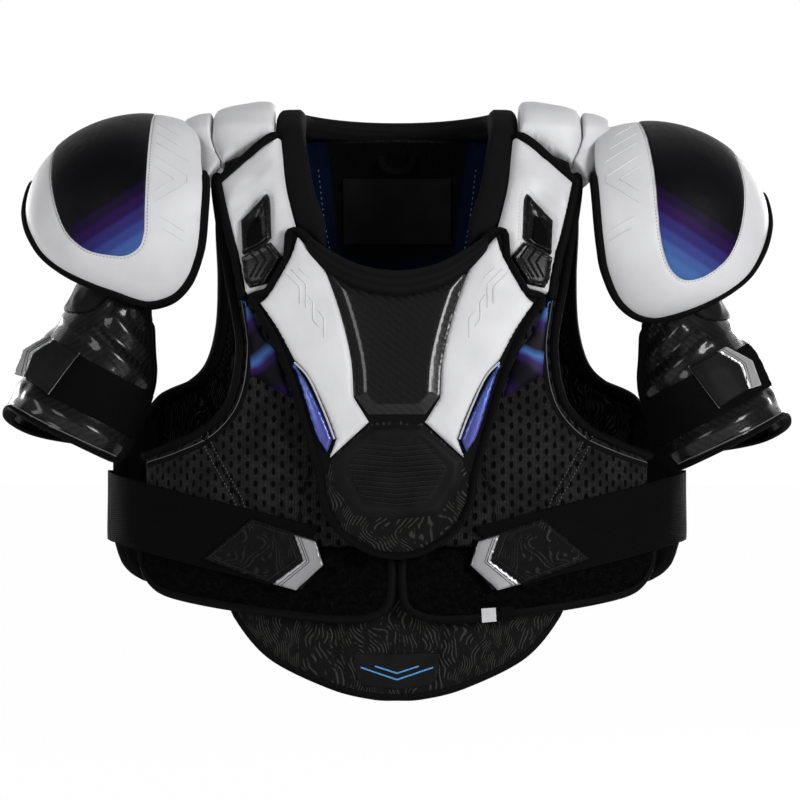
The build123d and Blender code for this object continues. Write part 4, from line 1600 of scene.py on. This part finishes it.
def makeGuard(name, side):
    chart, body = Guard(side), f"{name}_biceps"
    creases = [(smoothRun(line, 1), width, rise) for line, width, rise in guard["creases"]]
    pad(
        f"{name}_biceps_wrap", body, "wrap", chart, drawn(guard["wrap"]), (-3, -0.6), 2.2,
        f"{name}_biceps_shell", 0.7, rim=2, puff=0.8, lines=creases, waves=(0.8, 13, 60, 0.3),
    )
    pad(
        f"{name}_biceps_padding", body, "woven", chart, drawn(guard["padding"]), (-9, -3.6), 5,
        f"{name}_biceps_liner", 0.8,
    )
    pad(
        f"{name}_foam_lip", body, "rubber", chart, drawn(guard["lip"]), (-2, 4.6), 2.6,
        f"{name}_arm_link", 0.9, rim=5, rimHeight=0.1, waves=(1.4, 12), slot="elastic",
    )
    band(
        f"{name}_biceps_rim", body, "tape", chart, smoothRun(guard["sideRim"]), -2.6, 5.6, 4.2,
        segments=12, taper=2,
    )
    band(
        f"{name}_biceps_lower_rim", body, "tape", chart, smoothRun(guard["lowerRim"]), -3.0, 2.4, 4.2,
        segments=12, taper=2,
    )
    band(
        f"{name}_biceps_piping", body, "paleThread", chart, smoothRun(guard["piping"]), 0.8, 0.42, 0.42,
        segments=6,
    )
    strapBody, shift, spread = f"{name}_biceps_strap", guard["tabShift"][side], guard["chevronSpread"][side]
    loose = Tangent(chart, guard["leaves"])

    def placed(runs, spread=0):
        tip, drop = guard["chevronTip"], shift * guard["tabSlope"]
        return [[(x + shift + (spread if x > tip else 0), z - drop) for x, z in run] for run in runs]

    strapRuns = [[(guard["strapEnd"][side] if x > 0 else x, z) for x, z in run] for run in guard["strap"]]
    pad(
        f"{name}_arm_band", strapBody, "elastic", loose, drawn(strapRuns), (0.8, 2.8), 3,
        f"{name}_biceps_strap", rim=1, rimHeight=0.6, waves=(0.4, 20),
    )
    tab = pad(
        f"{name}_arm_grip", strapBody, "rubber", loose, drawn(placed(guard["tab"])), (3, 5.1), 1.8,
        f"{name}_biceps_tab", rim=1.2, waves=(0.5, 9),
    )
    seam = trace(placed(sharply(guard["tabSeam"])))
    sewn(
        f"{name}_arm_grip_stitching", strapBody, "darkThread", [(loose, seam, tab)], 1.6, 0.3, 2.4,
        slot="black_moulded",
    )
    chevron = pad(
        f"{name}_arm_chevron", strapBody, guard["chevronFinish"][side], loose,
        drawn(placed(guard["chevron"], spread), 1.6), (3.4, 5.9), 1.6, rim=0.8,
    )
    grooves = [trace(placed(sharply(line))) for line in guard["chevronLines"]]
    relief(f"{name}_arm_chevron_lines", strapBody, "rubber", loose, grooves, chevron, 0.3, 0.0)
    edge = trace(placed([guard["nearEdge"]]))
    relief(
        f"{name}_arm_band_line", strapBody, "paleThread", loose, [edge], lambda spot: 3.6, 0.5, 0.0,
        slot="elastic",
    )


for name, side in sides.items():
    makeChest(name, side)
    makeShoulder(name, side)
    makeBellyStrap(name, side)
    makeCap(name, side)
    makeGuard(name, side)
    print(name, "side made")
makeNeckRoll()
makeSternum()
makeExtension()
makeBack()
print("centre pieces made")

# the hanging loop keeps its own shape
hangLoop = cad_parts["hang_loop"].data.materials
hangLoop.clear()
hangLoop.append(finishes["elastic"])


def makeFloor():
    bm = bmesh.new()
    bmesh.ops.create_grid(bm, x_segments=1, y_segments=1, size=studio["floorSize"] / 2)
    mesh = bpy.data.meshes.new("floor")
    bm.to_mesh(mesh)
    bm.free()
    floor = bpy.data.objects.new("floor", mesh)
    floor.location.z = studio["floorHeight"]
    bpy.context.scene.collection.objects.link(floor)
    floor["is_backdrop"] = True
    finish = Finish("floorPaint", Base_Color=(0.85, 0.85, 0.85), Roughness=0.9)
    # the camera sees the floor nearly as white as the backdrop, and it still takes a shadow
    share = finish.node("ShaderNodeLightPath", output="Is Camera Ray") * studio["floorGlow"]
    paint, glow = Wire(finish, finish.shader.outputs[0]), finish.node("ShaderNodeEmission")
    finish.feed(
        finish.tree.nodes["Material Output"].inputs["Surface"],
        finish.node("ShaderNodeMixShader", {}, [share, paint, glow]),
    )
    mesh.materials.append(finish.material)


makeFloor()

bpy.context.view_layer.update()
shownMeshes = [piece.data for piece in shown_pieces() if piece.type == "MESH"]
print("triangles:", sum(len(face.vertices) - 2 for mesh in shownMeshes for face in mesh.polygons))
